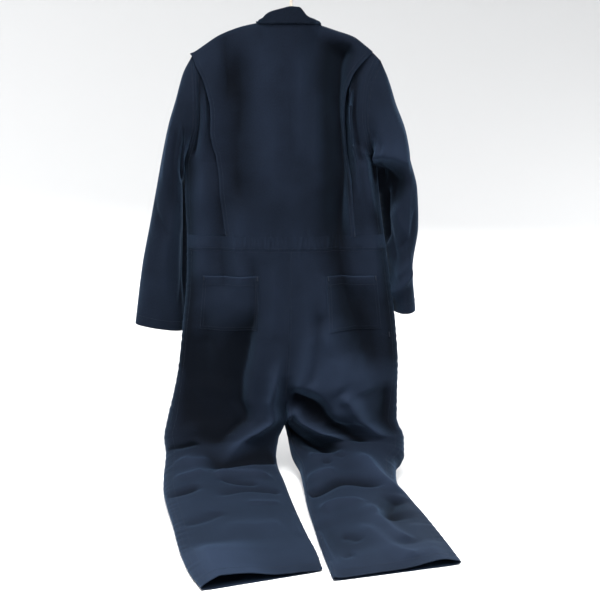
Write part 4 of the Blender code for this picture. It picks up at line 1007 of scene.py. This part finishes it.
# ---- Sleeves -----------------------------------------------------------------------------------
# One piece of twill each, joined along the underarm, set in to a deep armhole and left open at the
# cuff with a turned hem. The arms are empty, so the sleeves hang flat and fold at the elbow.
SleeveSection = namedtuple("SleeveSection", "down x_out y_out z_out x_in y_in z_in thick")
SLEEVES = {
    "left": [
        SleeveSection(0.00, -0.226, 0.000, 1.020, -0.250, 0.000, 0.775, 0.046),
        SleeveSection(0.06, -0.249, 0.000, 0.978, -0.250, 0.004, 0.764, 0.052),
        SleeveSection(0.12, -0.265, 0.000, 0.922, -0.248, 0.012, 0.748, 0.057),
        SleeveSection(0.18, -0.284, 0.001, 0.862, -0.249, 0.024, 0.722, 0.060),
        SleeveSection(0.25, -0.301, 0.002, 0.790, -0.247, 0.032, 0.684, 0.060),
        SleeveSection(0.33, -0.317, 0.003, 0.712, -0.246, 0.034, 0.640, 0.057),
        SleeveSection(0.42, -0.335, 0.004, 0.625, -0.245, 0.034, 0.575, 0.052),
        SleeveSection(0.52, -0.357, 0.006, 0.520, -0.248, 0.034, 0.490, 0.045),
        SleeveSection(0.66, -0.378, 0.008, 0.378, -0.262, 0.026, 0.356, 0.034),
    ],
    "right": [
        SleeveSection(0.00, 0.212, 0.000, 1.008, 0.206, 0.000, 0.775, 0.046),
        SleeveSection(0.06, 0.231, 0.000, 0.966, 0.205, 0.006, 0.764, 0.052),
        SleeveSection(0.12, 0.248, 0.000, 0.912, 0.204, 0.014, 0.746, 0.056),
        SleeveSection(0.18, 0.269, 0.000, 0.855, 0.205, 0.026, 0.720, 0.058),
        SleeveSection(0.25, 0.284, 0.000, 0.785, 0.212, 0.034, 0.682, 0.058),
        SleeveSection(0.33, 0.304, 0.000, 0.705, 0.218, 0.036, 0.634, 0.056),
        SleeveSection(0.42, 0.308, 0.002, 0.620, 0.227, 0.038, 0.575, 0.053),
        SleeveSection(0.52, 0.297, 0.006, 0.520, 0.241, 0.038, 0.500, 0.054),
        SleeveSection(0.62, 0.306, 0.012, 0.412, 0.257, 0.036, 0.404, 0.056),
    ],
}
# across is 0 at the sleeve's outer line and 0.5 at its inner line, the back first
SLEEVE_FOLDS = {
    "left": [
        Fold(((0.08, 0.06), (0.12, 0.18), (0.16, 0.32)), 0.018, 0.022, 0.006),
        Fold(((0.28, 0.06), (0.32, 0.14), (0.38, 0.22)), 0.016, 0.014, -0.012),
        Fold(((0.20, 0.10), (0.24, 0.22), (0.27, 0.36)), 0.016, 0.020, -0.005),
        Fold(((0.06, 0.36), (0.16, 0.39), (0.28, 0.43)), 0.014, 0.020, -0.005),
        Fold(((0.30, 0.30), (0.26, 0.46), (0.28, 0.60)), 0.016, 0.022, 0.005),
        Fold(((0.38, 0.36), (0.40, 0.50), (0.38, 0.62)), 0.012, 0.014, -0.005),
        Fold(((0.45, 0.14), (0.455, 0.34), (0.46, 0.64)), 0.016, 0.020, -0.014),
        Fold(((0.12, 0.46), (0.14, 0.55), (0.12, 0.64)), 0.016, 0.020, 0.003),
        Fold(((0.70, 0.20), (0.78, 0.30), (0.86, 0.40)), 0.018, 0.022, -0.008),
        Fold(((0.62, 0.30), (0.74, 0.44), (0.84, 0.56)), 0.014, 0.018, 0.006),
        Fold(((0.94, 0.10), (0.90, 0.24), (0.88, 0.40)), 0.016, 0.018, 0.005),
    ],
    "right": [
        Fold(((0.46, 0.02), (0.40, 0.07), (0.34, 0.115), (0.26, 0.175), (0.16, 0.235), (0.08, 0.28)),
             0.010, 0.040, 0.022),
        Fold(((0.52, 0.05), (0.44, 0.11), (0.36, 0.155), (0.28, 0.215), (0.20, 0.27), (0.14, 0.31)),
             0.056, 0.012, -0.034),
        Fold(((0.38, 0.21), (0.41, 0.28), (0.43, 0.36), (0.43, 0.44)), 0.022, 0.028, -0.018),
        Fold(((0.15, 0.22), (0.17, 0.31), (0.20, 0.40), (0.20, 0.50)), 0.012, 0.012, 0.006),
        Fold(((0.46, 0.02), (0.47, 0.12), (0.48, 0.24)), 0.006, 0.010, 0.009),
        Fold(((0.50, 0.02), (0.50, 0.12), (0.50, 0.24)), 0.014, 0.020, 0.020),
        Fold(((0.50, 0.48), (0.50, 0.56), (0.50, 0.64)), 0.016, 0.020, 0.010),
        Fold(((0.31, 0.02), (0.30, 0.08), (0.29, 0.14)), 0.010, 0.010, -0.008),
        Fold(((0.10, 0.06), (0.12, 0.14), (0.10, 0.22)), 0.020, 0.024, 0.005),
        Fold(((0.30, 0.30), (0.26, 0.38), (0.18, 0.44)), 0.016, 0.016, 0.006),
        Fold(((0.40, 0.32), (0.34, 0.42), (0.30, 0.50)), 0.014, 0.014, -0.007),
        Fold(((0.10, 0.36), (0.18, 0.42), (0.28, 0.46)), 0.012, 0.016, -0.005),
        Fold(((0.06, 0.52), (0.18, 0.54), (0.32, 0.56), (0.48, 0.58)), 0.030, 0.012, 0.015),
        Fold(((0.10, 0.50), (0.22, 0.51), (0.34, 0.53)), 0.020, 0.014, 0.008),
        Fold(((0.62, 0.30), (0.76, 0.35), (0.90, 0.38)), 0.018, 0.020, -0.008),
        Fold(((0.64, 0.12), (0.76, 0.20), (0.88, 0.26)), 0.018, 0.018, 0.008),
        Fold(((0.70, 0.42), (0.74, 0.50), (0.72, 0.60)), 0.014, 0.016, 0.005),
    ],
}
CAP_FADE = 0.20  # down the sleeve, by which its sections no longer follow the armhole
SLEEVE_ROUND = 0.40  # a sleeve's measure round, for widths of folds
SLEEVE_COLUMNS = 92
SLEEVE_FOLDS_DOWN = 0.08  # by which its folds have grown to their full height
INNER_PAINTED_SHADE = 0.040  # painted shade on a sleeve toward the body, as a depth of painted shading
INNER_MIDDLE = 0.49  # around the sleeve, of that strip
INNER_REACH = 0.075
INNER_FADE = 0.12  # down, by which the strip has come up from the armhole


def sleeve_ellipse(side, turn, down):
    rows = SLEEVES[side]
    outer = np.stack([read(rows, c, down) for c in ("x_out", "y_out", "z_out")], axis=-1)
    inner = np.stack([read(rows, c, down) for c in ("x_in", "y_in", "z_in")], axis=-1)
    spread = np.sin(turn)
    back = -read(rows, "thick", down) * np.sign(spread) * np.abs(spread) ** 0.9
    to_back = np.stack([0 * back, back, 0 * back], axis=-1)
    return (outer + inner) / 2 + (outer - inner) / 2 * np.cos(turn)[..., None] + to_back


def armhole_point(side, turn):
    half = turn / math.pi
    back = shoulder_point(side, "back", np.ones_like(turn), np.minimum(half, 1.0) * UNDERARM_DOWN)
    front = shoulder_point(side, "front", np.ones_like(turn), np.minimum(2 - half, 1.0) * UNDERARM_DOWN)
    return np.where((half <= 1.0)[..., None], back, front)


def sleeve_surface(side, around, down):
    around, down = np.broadcast_arrays(np.asarray(around, float), np.asarray(down, float))
    turn = 2 * math.pi * around
    point = sleeve_ellipse(side, turn, down)
    fade = np.maximum(0.0, 1 - down / CAP_FADE) ** 2
    seam = armhole_point(side, turn) - sleeve_ellipse(side, turn, 0.0 * down)
    point = point + fade[..., None] * seam
    height = fold_height(SLEEVE_FOLDS[side], around, down, SLEEVE_ROUND)
    round_wave = 0.5 - 0.5 * np.cos(2 * turn)
    seed = 31 if side == "left" else 37
    height = height + WAVE * ripple(seed, around * SLEEVE_ROUND, down) * round_wave
    middle = (sleeve_ellipse(side, turn, down) + sleeve_ellipse(side, turn + math.pi, down)) / 2
    out = point - middle
    out[..., 2] = 0.0
    height = height * np.minimum(1.0, down / SLEEVE_FOLDS_DOWN)
    return point + height[..., None] * unit(out), height


def sleeve(side):
    around = np.linspace(0.0, 1.0, SLEEVE_COLUMNS + 1)[None, :-1]
    downs = soft_edges(0.0, SLEEVES[side][-1].down, SPACING)[:, None]
    points, relief = sleeve_surface(side, around, downs)
    lift = puckers(41, np.abs(around - 0.5) * SLEEVE_ROUND, downs) + puckers(43, downs, around)
    # painted shade on the sleeve's inner strip, where it hangs beside the body
    shade_strip = np.exp(-(((around - INNER_MIDDLE) / INNER_REACH) ** 2))
    shade_strip = shade_strip * smooth_step(downs / INNER_FADE)
    piece = cloth(
        "set_in_sleeve_" + side,
        points,
        outward(points, SIGN[side], loop=True),
        lift,
        loop=True,
        folded=relief - INNER_PAINTED_SHADE * shade_strip,
    )
    finished(piece, "sleeve_" + side, flat=(0.42, 0.66), area=0.185)


for side in SIGN:
    sleeve(side)

# ---- Collar ------------------------------------------------------------------------------------
# A turned-down collar of two layers of the twill, joined at the neck seam. It is creased at the
# nape, where it stands up, and lies flat over the fronts.

# turn in degrees, 0 at the nape and plus to the right; the fold's rise and its lean out; where the
# turned-down layer ends, as a share beyond the neck's own and a fall over the panels
CollarPoint = namedtuple("CollarPoint", "turn rise lean spread fall")
COLLAR = [
    CollarPoint(-169, 0.016, 0.008, 0.030, 0.046),
    CollarPoint(-130, 0.020, 0.006, 0.060, 0.030),
    CollarPoint(-112, 0.014, 0.003, 0.060, 0.020),
    CollarPoint(-90, 0.003, 0.003, 0.040, 0.000),
    CollarPoint(-60, 0.010, 0.003, 0.010, 0.022),
    CollarPoint(-30, 0.026, 0.003, 0.004, 0.024),
    CollarPoint(0, 0.033, 0.001, 0.000, 0.024),
    CollarPoint(18, 0.034, 0.001, 0.000, 0.025),
    CollarPoint(34, 0.015, 0.003, 0.008, 0.024),
    CollarPoint(60, 0.006, 0.003, 0.008, 0.022),
    CollarPoint(90, 0.003, 0.002, 0.024, 0.000),
    CollarPoint(112, 0.014, 0.003, 0.050, 0.020),
    CollarPoint(130, 0.020, 0.006, 0.060, 0.030),
    CollarPoint(169, 0.016, 0.008, 0.030, 0.046),
]
COLLAR_REACH = 168.75  # degrees to each side of the nape
COLLAR_SPACE = 0.0016  # between its two layers
COLLAR_ROUND = 0.0035  # height of its rounded fold
COLLAR_LIFT = 0.0040  # of the turned-down layer over the panels
COLLAR_WAVE = 0.0011
COLLAR_SHADE = -0.005  # painted shade, a little darker than the panels, as a depth of painted shading


def neck_side(turn):
    return ("left" if turn < 0 else "right"), ("back" if abs(turn) <= math.pi / 2 else "front")


def collar_column(degree):
    rise, lean, spread, fall = (read(COLLAR, c, degree) for c in CollarPoint._fields[1:])
    turn = math.radians(degree)
    side, face = neck_side(turn)
    neck = NECK_HALF_WIDTH / SHOULDER[side][-1].out * abs(math.sin(turn))
    base = shoulder_point(side, face, np.array(neck), np.array(0.0))
    out = np.array([math.sin(turn), -math.cos(turn), 0.0])
    crest = rise - COLLAR_ROUND
    profile = [
        (-CLOTH, 0.0006),
        (0.5 * lean - CLOTH, 0.5 * rise),
        (lean - CLOTH, crest),
        (lean + COLLAR_SPACE / 2, rise),
        (lean + COLLAR_SPACE + CLOTH, crest),
    ]
    column = [base + out * way + np.array([0.0, 0.0, up]) for way, up in profile]
    way = np.array([0.0, -math.cos(turn), 0.5])
    end = body(side, face, np.array(neck + spread), np.array(fall))[0]
    end = end + way / np.linalg.norm(way) * COLLAR_LIFT
    return curve_through([*column, (column[-1] + end) / 2, end], 5)


def collar():
    degrees = np.linspace(-COLLAR_REACH, COLLAR_REACH, 151)
    points = np.swapaxes([collar_column(degree) for degree in degrees], 0, 1)
    steps = np.linspace(0.0, 1.0, len(points))[:, None]
    round_neck = np.radians(degrees)[None, :] * 0.07
    wave = ripple(51, round_neck, steps * 0.05, count=12, shortest=0.02, longest=0.05)
    wave = COLLAR_WAVE * wave
    lift = wave * np.sin(math.pi * steps) ** 0.5
    piece = cloth("turned_down_collar", points, outward(points, 1.0), lift, folded=COLLAR_SHADE)
    finished(piece, "collar", flat=(0.42, 0.052), held="folded")


collar()

# ---- Placket -----------------------------------------------------------------------------------
# The faced edge of the front that laps over the other, a long strip of folded twill with two rows of
# topstitching, from the neck to below the waist.
PLACKET_HALF_WIDTH = 0.017
PLACKET_FOOT_DOWN = 0.80
PLACKET_LIFT = 0.0022
PLACKET_PUCKERS = 0.013  # where its puckers lie, out from its middle


def placket_grid(across, downs):
    """Points on the front over the centre line: across is in metres, plus to the right."""
    rows = []
    for side in SIGN:
        reach = np.abs(body(side, "front", np.ones_like(downs), downs)[0][..., 0])[:, None]
        part = across[across < 0] if side == "left" else across[across >= 0]
        rows.append(body(side, "front", np.abs(part)[None, :] / reach, downs[:, None])[0])
    return np.concatenate(rows, axis=1)


def placket():
    across = soft_edges(-PLACKET_HALF_WIDTH, PLACKET_HALF_WIDTH, 0.003)
    downs = soft_edges(0.0, PLACKET_FOOT_DOWN, 0.005)
    points = placket_grid(across, downs)
    normals = outward(points, 1.0)
    wave = puckers(61, np.abs(np.abs(across) - PLACKET_PUCKERS)[None, :], downs[:, None])
    piece = cloth("front_placket", points, normals, PLACKET_LIFT + wave, FACED_CLOTH)
    finished(piece, "placket", flat=(0.036, 0.82))


placket()

# ---- Snaps -------------------------------------------------------------------------------------
# Pressed metal caps, riveted through the placket, each a shallow dome with a rolled rim.
SNAP_DOWNS = (0.06, 0.20, 0.34, 0.48, 0.62, 0.76)
SNAP_PROFILE = ((0.0, 0.0012), (0.0020, 0.0012), (0.0036, 0.0009), (0.0042, 0.0007), (0.0047, 0.0010),
                (0.0053, 0.0014), (0.0058, 0.0012), (0.0060, 0.0006), (0.0059, 0.0), (0.0, 0.0))


def mottled(name, values, noise, tones, rough):
    """A material whose colour and roughness both follow one noise."""
    made = add_material(name, values)
    tree = made.node_tree
    place = tree.nodes.new("ShaderNodeTexCoord")
    cloud = add_node(tree, "ShaderNodeTexNoise", noise)
    tree.links.new(place.outputs["Object"], cloud.inputs["Vector"])
    coloured(tree, cloud.outputs["Fac"], *tones)
    spread = add_node(tree, "ShaderNodeMapRange", {"To Min": rough[0], "To Max": rough[1]})
    tree.links.new(cloud.outputs["Fac"], spread.inputs["Value"])
    tree.links.new(spread.outputs["Result"], tree.nodes["Principled BSDF"].inputs["Roughness"])
    return made


SNAP_METAL = mottled(
    "snap_metal_worn",
    {"Metallic": 1.0},
    {"Scale": 900.0, "Detail": 6.0},
    ((0.20, 0.21, 0.22), (0.42, 0.43, 0.45)),
    (0.25, 0.5),
)


def snap_caps():
    shape = bmesh.new()
    for down in SNAP_DOWNS:
        middle = body("right", "front", np.array(0.0), np.array(down))[0]
        middle = middle + (0.0, PLACKET_LIFT + 0.0004, -HANG_HEIGHT)
        rings = []
        for radius, rise in SNAP_PROFILE:
            turns = round_turns(32) if radius else [0.0]
            ring = [(math.cos(t), math.sin(t)) for t in turns]
            rings.append([shape.verts.new(middle + (radius * a, rise, radius * b)) for a, b in ring])
        skin(shape, rings)
    caps = add_object("snap_caps", smooth_mesh("snap_caps", shape, SNAP_METAL))
    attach(caps, "root")
    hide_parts(*[f"snap_{number}" for number in range(1, len(SNAP_DOWNS) + 1)])


snap_caps()

# ---- Topstitching ------------------------------------------------------------------------------
# Navy thread, a shade lighter than the twill: two rows beside the pleats' edges, the seams and the
# pockets, one at each hem, and short dense bartacks where a seam is pulled.
STITCH_PITCH = 0.0034
STITCH_LENGTH = 0.0025
STITCH_WIDTH = 0.0007
ROW_IN = 0.0025  # from an edge to the first row
ROW_GAP = 0.0065  # from the first row to the second
WAIST_ROW = 0.004  # from the waist seam to the row on each side of it
SEAT_ROW = 0.0032  # and from the seat seam
HEM_ROW = 0.024  # from an open end up to its hem's row
POCKET_ROWS = (0.002, 0.008)  # in from a pocket's edges
MOUTH_ROW = 0.020  # down from its mouth
ARMHOLE_ROWS = (0.003, 0.009)  # down a sleeve from the armhole
PLACKET_ROW = 0.0145  # out from the placket's middle
TACK_LENGTH = 0.010
PLEAT_HALF_BACK = 0.23  # from the centre line to the side, along the pleats


def thread_material():
    values = {"Roughness": 0.65, "Specular IOR Level": 0.15, "Sheen Weight": 0.06}
    made = add_material("navy_thread", values)
    tree = made.node_tree
    place = tree.nodes.new("ShaderNodeTexCoord")
    ply = add_node(tree, "ShaderNodeTexWave", {"Scale": 900.0})
    ply.bands_direction = "DIAGONAL"
    tree.links.new(place.outputs["Object"], ply.inputs["Vector"])
    coloured(tree, ply.outputs["Fac"], (0.004, 0.007, 0.014), (0.013, 0.021, 0.037))
    return made


def stitch_tree():
    """Geometry Nodes: even stitches laid along curves, each turned to lie on the cloth."""
    tree = bpy.data.node_groups.new("stitch_row", "GeometryNodeTree")
    face = tree.interface
    face.new_socket("Rows", in_out="INPUT", socket_type="NodeSocketGeometry")
    sizes = (("Pitch", STITCH_PITCH), ("Length", STITCH_LENGTH), ("Width", STITCH_WIDTH))
    for name, value in sizes:
        face.new_socket(name, in_out="INPUT", socket_type="NodeSocketFloat").default_value = value
    face.new_socket("Thread", in_out="INPUT", socket_type="NodeSocketMaterial")
    face.new_socket("Stitches", in_out="OUTPUT", socket_type="NodeSocketGeometry")
    nodes, links = tree.nodes, tree.links
    given, made = nodes.new("NodeGroupInput"), nodes.new("NodeGroupOutput")
    curve = nodes.new("GeometryNodeMeshToCurve")
    links.new(given.outputs["Rows"], curve.inputs[0])
    even = nodes.new("GeometryNodeResampleCurve")
    even.mode = "LENGTH"
    links.new(curve.outputs[0], even.inputs["Curve"])
    links.new(given.outputs["Pitch"], even.inputs["Length"])
    bead = add_node(tree, "GeometryNodeMeshUVSphere", {"Segments": 5, "Rings": 3, "Radius": 0.5})
    size = nodes.new("ShaderNodeCombineXYZ")
    for axis, name in enumerate(("Length", "Width", "Width")):
        links.new(given.outputs[name], size.inputs[axis])
    shaped = nodes.new("GeometryNodeTransform")
    links.new(bead.outputs["Mesh"], shaped.inputs["Geometry"])
    links.new(size.outputs[0], shaped.inputs["Scale"])
    out = add_node(tree, "GeometryNodeInputNamedAttribute", {"Name": "out"})
    out.data_type = "FLOAT_VECTOR"
    up = nodes.new("FunctionNodeAlignRotationToVector")
    up.axis = "Z"
    links.new(out.outputs["Attribute"], up.inputs["Vector"])
    tangent = nodes.new("GeometryNodeInputTangent")
    along = nodes.new("FunctionNodeAlignRotationToVector")
    along.axis = "X"
    along.pivot_axis = "Z"
    links.new(up.outputs[0], along.inputs["Rotation"])
    links.new(tangent.outputs[0], along.inputs["Vector"])
    copies = nodes.new("GeometryNodeInstanceOnPoints")
    links.new(even.outputs[0], copies.inputs["Points"])
    links.new(shaped.outputs[0], copies.inputs["Instance"])
    links.new(along.outputs[0], copies.inputs["Rotation"])
    real = nodes.new("GeometryNodeRealizeInstances")
    links.new(copies.outputs[0], real.inputs[0])
    thread = nodes.new("GeometryNodeSetMaterial")
    links.new(real.outputs[0], thread.inputs["Geometry"])
    links.new(given.outputs["Thread"], thread.inputs["Material"])
    links.new(thread.outputs[0], made.inputs[0])
    return tree


STITCHES = stitch_tree()
THREAD = thread_material()


def sew(name, rows, pitch=STITCH_PITCH, length=STITCH_LENGTH, width=STITCH_WIDTH):
    """Stitches along rows, each a list of points and their ways out, as one plain mesh."""
    mesh = bpy.data.meshes.new(name + "_rows")
    spots, ways, edges = [], [], []
    for points, normals in rows:
        first = len(spots)
        spots += (points + normals * width * 0.2 - (0.0, 0.0, HANG_HEIGHT)).tolist()
        ways += normals.tolist()
        edges += [(first + k, first + k + 1) for k in range(len(points) - 1)]
    mesh.from_pydata(spots, edges, [])
    layer = mesh.attributes.new("out", "FLOAT_VECTOR", "POINT")
    layer.data.foreach_set("vector", np.array(ways).reshape(-1))
    guide = add_object(name + "_rows", mesh)
    modifier = guide.modifiers.new("stitch_row", "NODES")
    modifier.node_group = STITCHES
    given = {s.name: s.identifier for s in STITCHES.interface.items_tree if s.in_out == "INPUT"}
    for key, value in (("Pitch", pitch), ("Length", length), ("Width", width), ("Thread", THREAD)):
        modifier[given[key]] = value
    bpy.context.view_layer.update()
    graph = bpy.context.evaluated_depsgraph_get()
    sewn = bpy.data.meshes.new_from_object(guide.evaluated_get(graph))
    sewn.name = name
    bpy.data.objects.remove(guide)
    sewn.shade_smooth()
    piece = add_object(name, sewn)
    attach(piece, "root")


def on_body(side, face, share, down, lift=0.0):
    """A row's points on a panel, lifted off it, with their ways out."""
    share, down = np.broadcast_arrays(np.asarray(share, float), np.asarray(down, float))
    small = 0.002
    low, high = np.maximum(share - small * 3, 0.0), np.minimum(share + small * 3, 1.0)
    along = body(side, face, high, down)[0] - body(side, face, low, down)[0]
    fall = body(side, face, share, down + small)[0] - body(side, face, share, down - small)[0]
    normal = unit(np.cross(along, fall) * SIGN[side] * (-1.0 if face == "back" else 1.0))
    return body(side, face, share, down)[0] + normal * np.asarray(lift)[..., None], normal


def run(first, last, step=0.004):
    """Even places along a row."""
    return np.linspace(first, last, max(2, int(abs(last - first) / step)))


def pleat_stitches():
    rows = []
    for side in SIGN:
        down = run(0.004, CASING_TOP_DOWN - 0.002)
        for inset in (ROW_IN, ROW_IN + ROW_GAP):
            share = pleat(side, "share", down) - inset / PLEAT_HALF_BACK
            rows.append(on_body(side, "back", share, down, lift=0.0005))
    sew("pleat_edge_stitches", rows)


def seam_stitches():
    rows = []
    for side in SIGN:
        share = run(0.02, 0.97, 0.01)
        for down in (CASING_FOOT_DOWN - WAIST_ROW, CASING_FOOT_DOWN + WAIST_ROW):
            lift = gathers(side, share, down) + 0.0004
            rows.append(on_body(side, "back", share, down, lift))
        for inset in (ROW_IN, ROW_IN + ROW_GAP):
            down = run(0.004, HEM_DOWN[side] - 0.003)
            share = 1 - (inset + 0.003) / side_width(side, down)
            below = down > CASING_FOOT_DOWN
            rows.append(on_body(side, "back", share[~below], down[~below]))
            rows.append(on_body(side, "back", share[below], down[below]))
            down = run(FORK_DOWN + 0.01, HEM_DOWN[side] - 0.003)
            rows.append(on_body(side, "back", np.sqrt(inset / side_width(side, down)) * 0.9, down))
            share = run(NECK_HALF_WIDTH / SHOULDER[side][-1].out + 0.02, 0.97, 0.02)
            rows.append(on_body(side, "back", share, 0.003 + inset, lift=0.0003))
    down = run(CASING_FOOT_DOWN + 0.004, FORK_DOWN - 0.004)
    for side in SIGN:
        rows.append(on_body(side, "back", SEAT_ROW / side_width(side, down), down, lift=0.0003))
    sew("seam_stitches", rows)


def hem_stitches():
    rows = []
    for side in SIGN:
        for face in ("back", "front"):
            share = run(0.01, 0.985, 0.008)
            rows.append(on_body(side, face, share, HEM_DOWN[side] - HEM_ROW, lift=0.0002))
        around = np.linspace(0.0, 1.0, 140)
        points = sleeve_surface(side, around, SLEEVES[side][-1].down - HEM_ROW)[0]
        out = unit(points - points.mean(axis=0))
        rows.append((points + out * 0.0003, out))
    sew("hem_stitches", rows)


def pocket_stitches():
    rows, tacks = [], []
    for side in SIGN:
        first, last = POCKET_EDGES[side]
        for inset in POCKET_ROWS:
            a, b = first + inset / HALF_SEAT, last - inset / HALF_SEAT
            foot = POCKET_FOOT_DOWN - inset
            down = run(POCKET_TOP_DOWN + 0.003, foot)
            for share in (a, b):
                rows.append(on_body(side, "back", share, down, lift=0.0020))
            rows.append(on_body(side, "back", run(a, b, 0.015), foot, lift=0.0020))
        share = run(first + 0.01, last - 0.01, 0.015)
        belly = POCKET_BELLY * np.sin(math.pi * (share - first) / (last - first)) * 0.6
        rows.append(on_body(side, "back", share, POCKET_TOP_DOWN + MOUTH_ROW, lift=0.0022 + belly))
        for share in (first + 0.012, last - 0.012):
            down = run(POCKET_TOP_DOWN, POCKET_TOP_DOWN + TACK_LENGTH, 0.002)
            tacks.append(on_body(side, "back", share, down, lift=0.0026))
        down = run(CASING_TOP_DOWN - TACK_LENGTH, CASING_TOP_DOWN, 0.002)
        share = pleat(side, "share", down) - 0.012
        tacks.append(on_body(side, "back", share, down, lift=0.0008))
    # a short row at the right hip, and its bartack
    share = run(0.86, 0.99, 0.01)
    rows.append(on_body("right", "back", share, 0.742 + (share - 0.86) * 0.10, lift=0.0003))
    tacks.append(on_body("right", "back", 0.93, run(0.738, 0.750, 0.002), lift=0.0004))
    sew("pocket_stitches", rows)
    sew("bartacks", tacks, pitch=0.0007, length=0.0008, width=0.0030)


def sleeve_stitches():
    rows = []
    around = np.linspace(0.0, 1.0, 220)
    for side in SIGN:
        for down in ARMHOLE_ROWS:
            points = sleeve_surface(side, around, down)[0]
            below = sleeve_surface(side, around, down + 0.003)[0]
            out = unit(np.cross(np.gradient(points, axis=0), below - points) * SIGN[side])
            rows.append((points + out * 0.0004, out))
    sew("armhole_stitches", rows)


def placket_stitches():
    rows = []
    downs = run(0.004, PLACKET_FOOT_DOWN - 0.004)
    both = placket_grid(np.array([-PLACKET_ROW, PLACKET_ROW]), downs)
    for points in (both[:, 0], both[:, 1]):
        way = np.broadcast_to([0.0, 1.0, 0.0], points.shape)
        rows.append((points + way * (PLACKET_LIFT + 0.0003), way))
    sew("placket_stitches", rows)


pleat_stitches()
seam_stitches()
hem_stitches()
pocket_stitches()
sleeve_stitches()
placket_stitches()

# ---- Hanger ------------------------------------------------------------------------------------
# A plain moulded plastic hanger: two round arms under the shoulder seams, and a round hook that
# stands on their middle and runs out through the neck.
HANGER_REACH = 0.198
HANGER_RADIUS = 0.0055
HANGER_CLEARANCE = 0.0084  # from the shoulder seam down to the arm
HANGER_MIDDLE_HEIGHT = 1.088
HOOK_RADIUS = 0.0035
HOOK_BEND = 0.020
HOOK_X = 0.004
HOOK_TURNS = np.radians(np.linspace(-60, 205, 14))  # round its bend, from the stem to the tip
CAP_TURNS = np.radians((88, 60, 30))  # where the rings of a bar's rounded end lie, from its tip in
BAR_SIDES = 16

PLASTIC = mottled(
    "moulded_plastic",
    {"Subsurface Weight": 0.1},
    {"Scale": 60.0, "Detail": 4.0},
    ((0.68, 0.62, 0.54), (0.78, 0.72, 0.64)),
    (0.36, 0.52),
)


def moulded_bar(name, node, points, radius):
    """A smooth round bar with rounded ends."""
    path = curve_through(points, 4)
    lean = unit(np.gradient(path, axis=0))
    first, last = (
        [(path[k] + lean[k] * way * math.sin(turn), lean[k], math.cos(turn)) for turn in CAP_TURNS]
        for k, way in ((0, -radius), (-1, radius))
    )
    middle = [(point, tangent, 1.0) for point, tangent in zip(path, lean)]
    shape = bmesh.new()
    loops = []
    for point, tangent, share in [*first, *middle, *last[::-1]]:
        over = np.cross(tangent, (0.0, 1.0, 0.0))
        over /= np.linalg.norm(over)
        ring = []
        for turn in round_turns(BAR_SIDES):
            way = over * math.cos(turn) + np.array([0.0, 1.0, 0.0]) * math.sin(turn)
            ring.append(shape.verts.new(point + way * radius * share - (0.0, 0.0, HANG_HEIGHT)))
        loops.append(ring)
    skin(shape, loops)
    shape.faces.new(loops[0][::-1])
    shape.faces.new(loops[-1])
    piece = add_object(name, smooth_mesh(name, shape, PLASTIC))
    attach(piece, "root")
    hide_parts(node)


def hanger():
    drop = HANGER_CLEARANCE + HANGER_RADIUS
    arms = []
    for x in np.linspace(-HANGER_REACH, HANGER_REACH, 19):
        side = "left" if x < 0 else "right"
        line = read(SHOULDER[side], "height", max(abs(x), NECK_HALF_WIDTH)) - drop
        inside = max(0.0, 1 - abs(x) / NECK_HALF_WIDTH)
        arms.append((x, 0.0, line + (HANGER_MIDDLE_HEIGHT - line) * inside * (2 - inside)))
    moulded_bar("moulded_arms", "hanger_arms", arms, HANGER_RADIUS)
    foot = HANGER_MIDDLE_HEIGHT + HANGER_RADIUS
    centre = HANG_HEIGHT + HOOK_RADIUS - HOOK_BEND
    bend = [(HOOK_BEND * math.cos(a), 0.0, centre + HOOK_BEND * math.sin(a)) for a in HOOK_TURNS]
    stem = [(HOOK_X, 0.0, foot - 0.002), (HOOK_X, 0.0, centre - 1.6 * HOOK_BEND)]
    moulded_bar("moulded_hook", "hanger_hook", stem + bend, HOOK_RADIUS)


hanger()
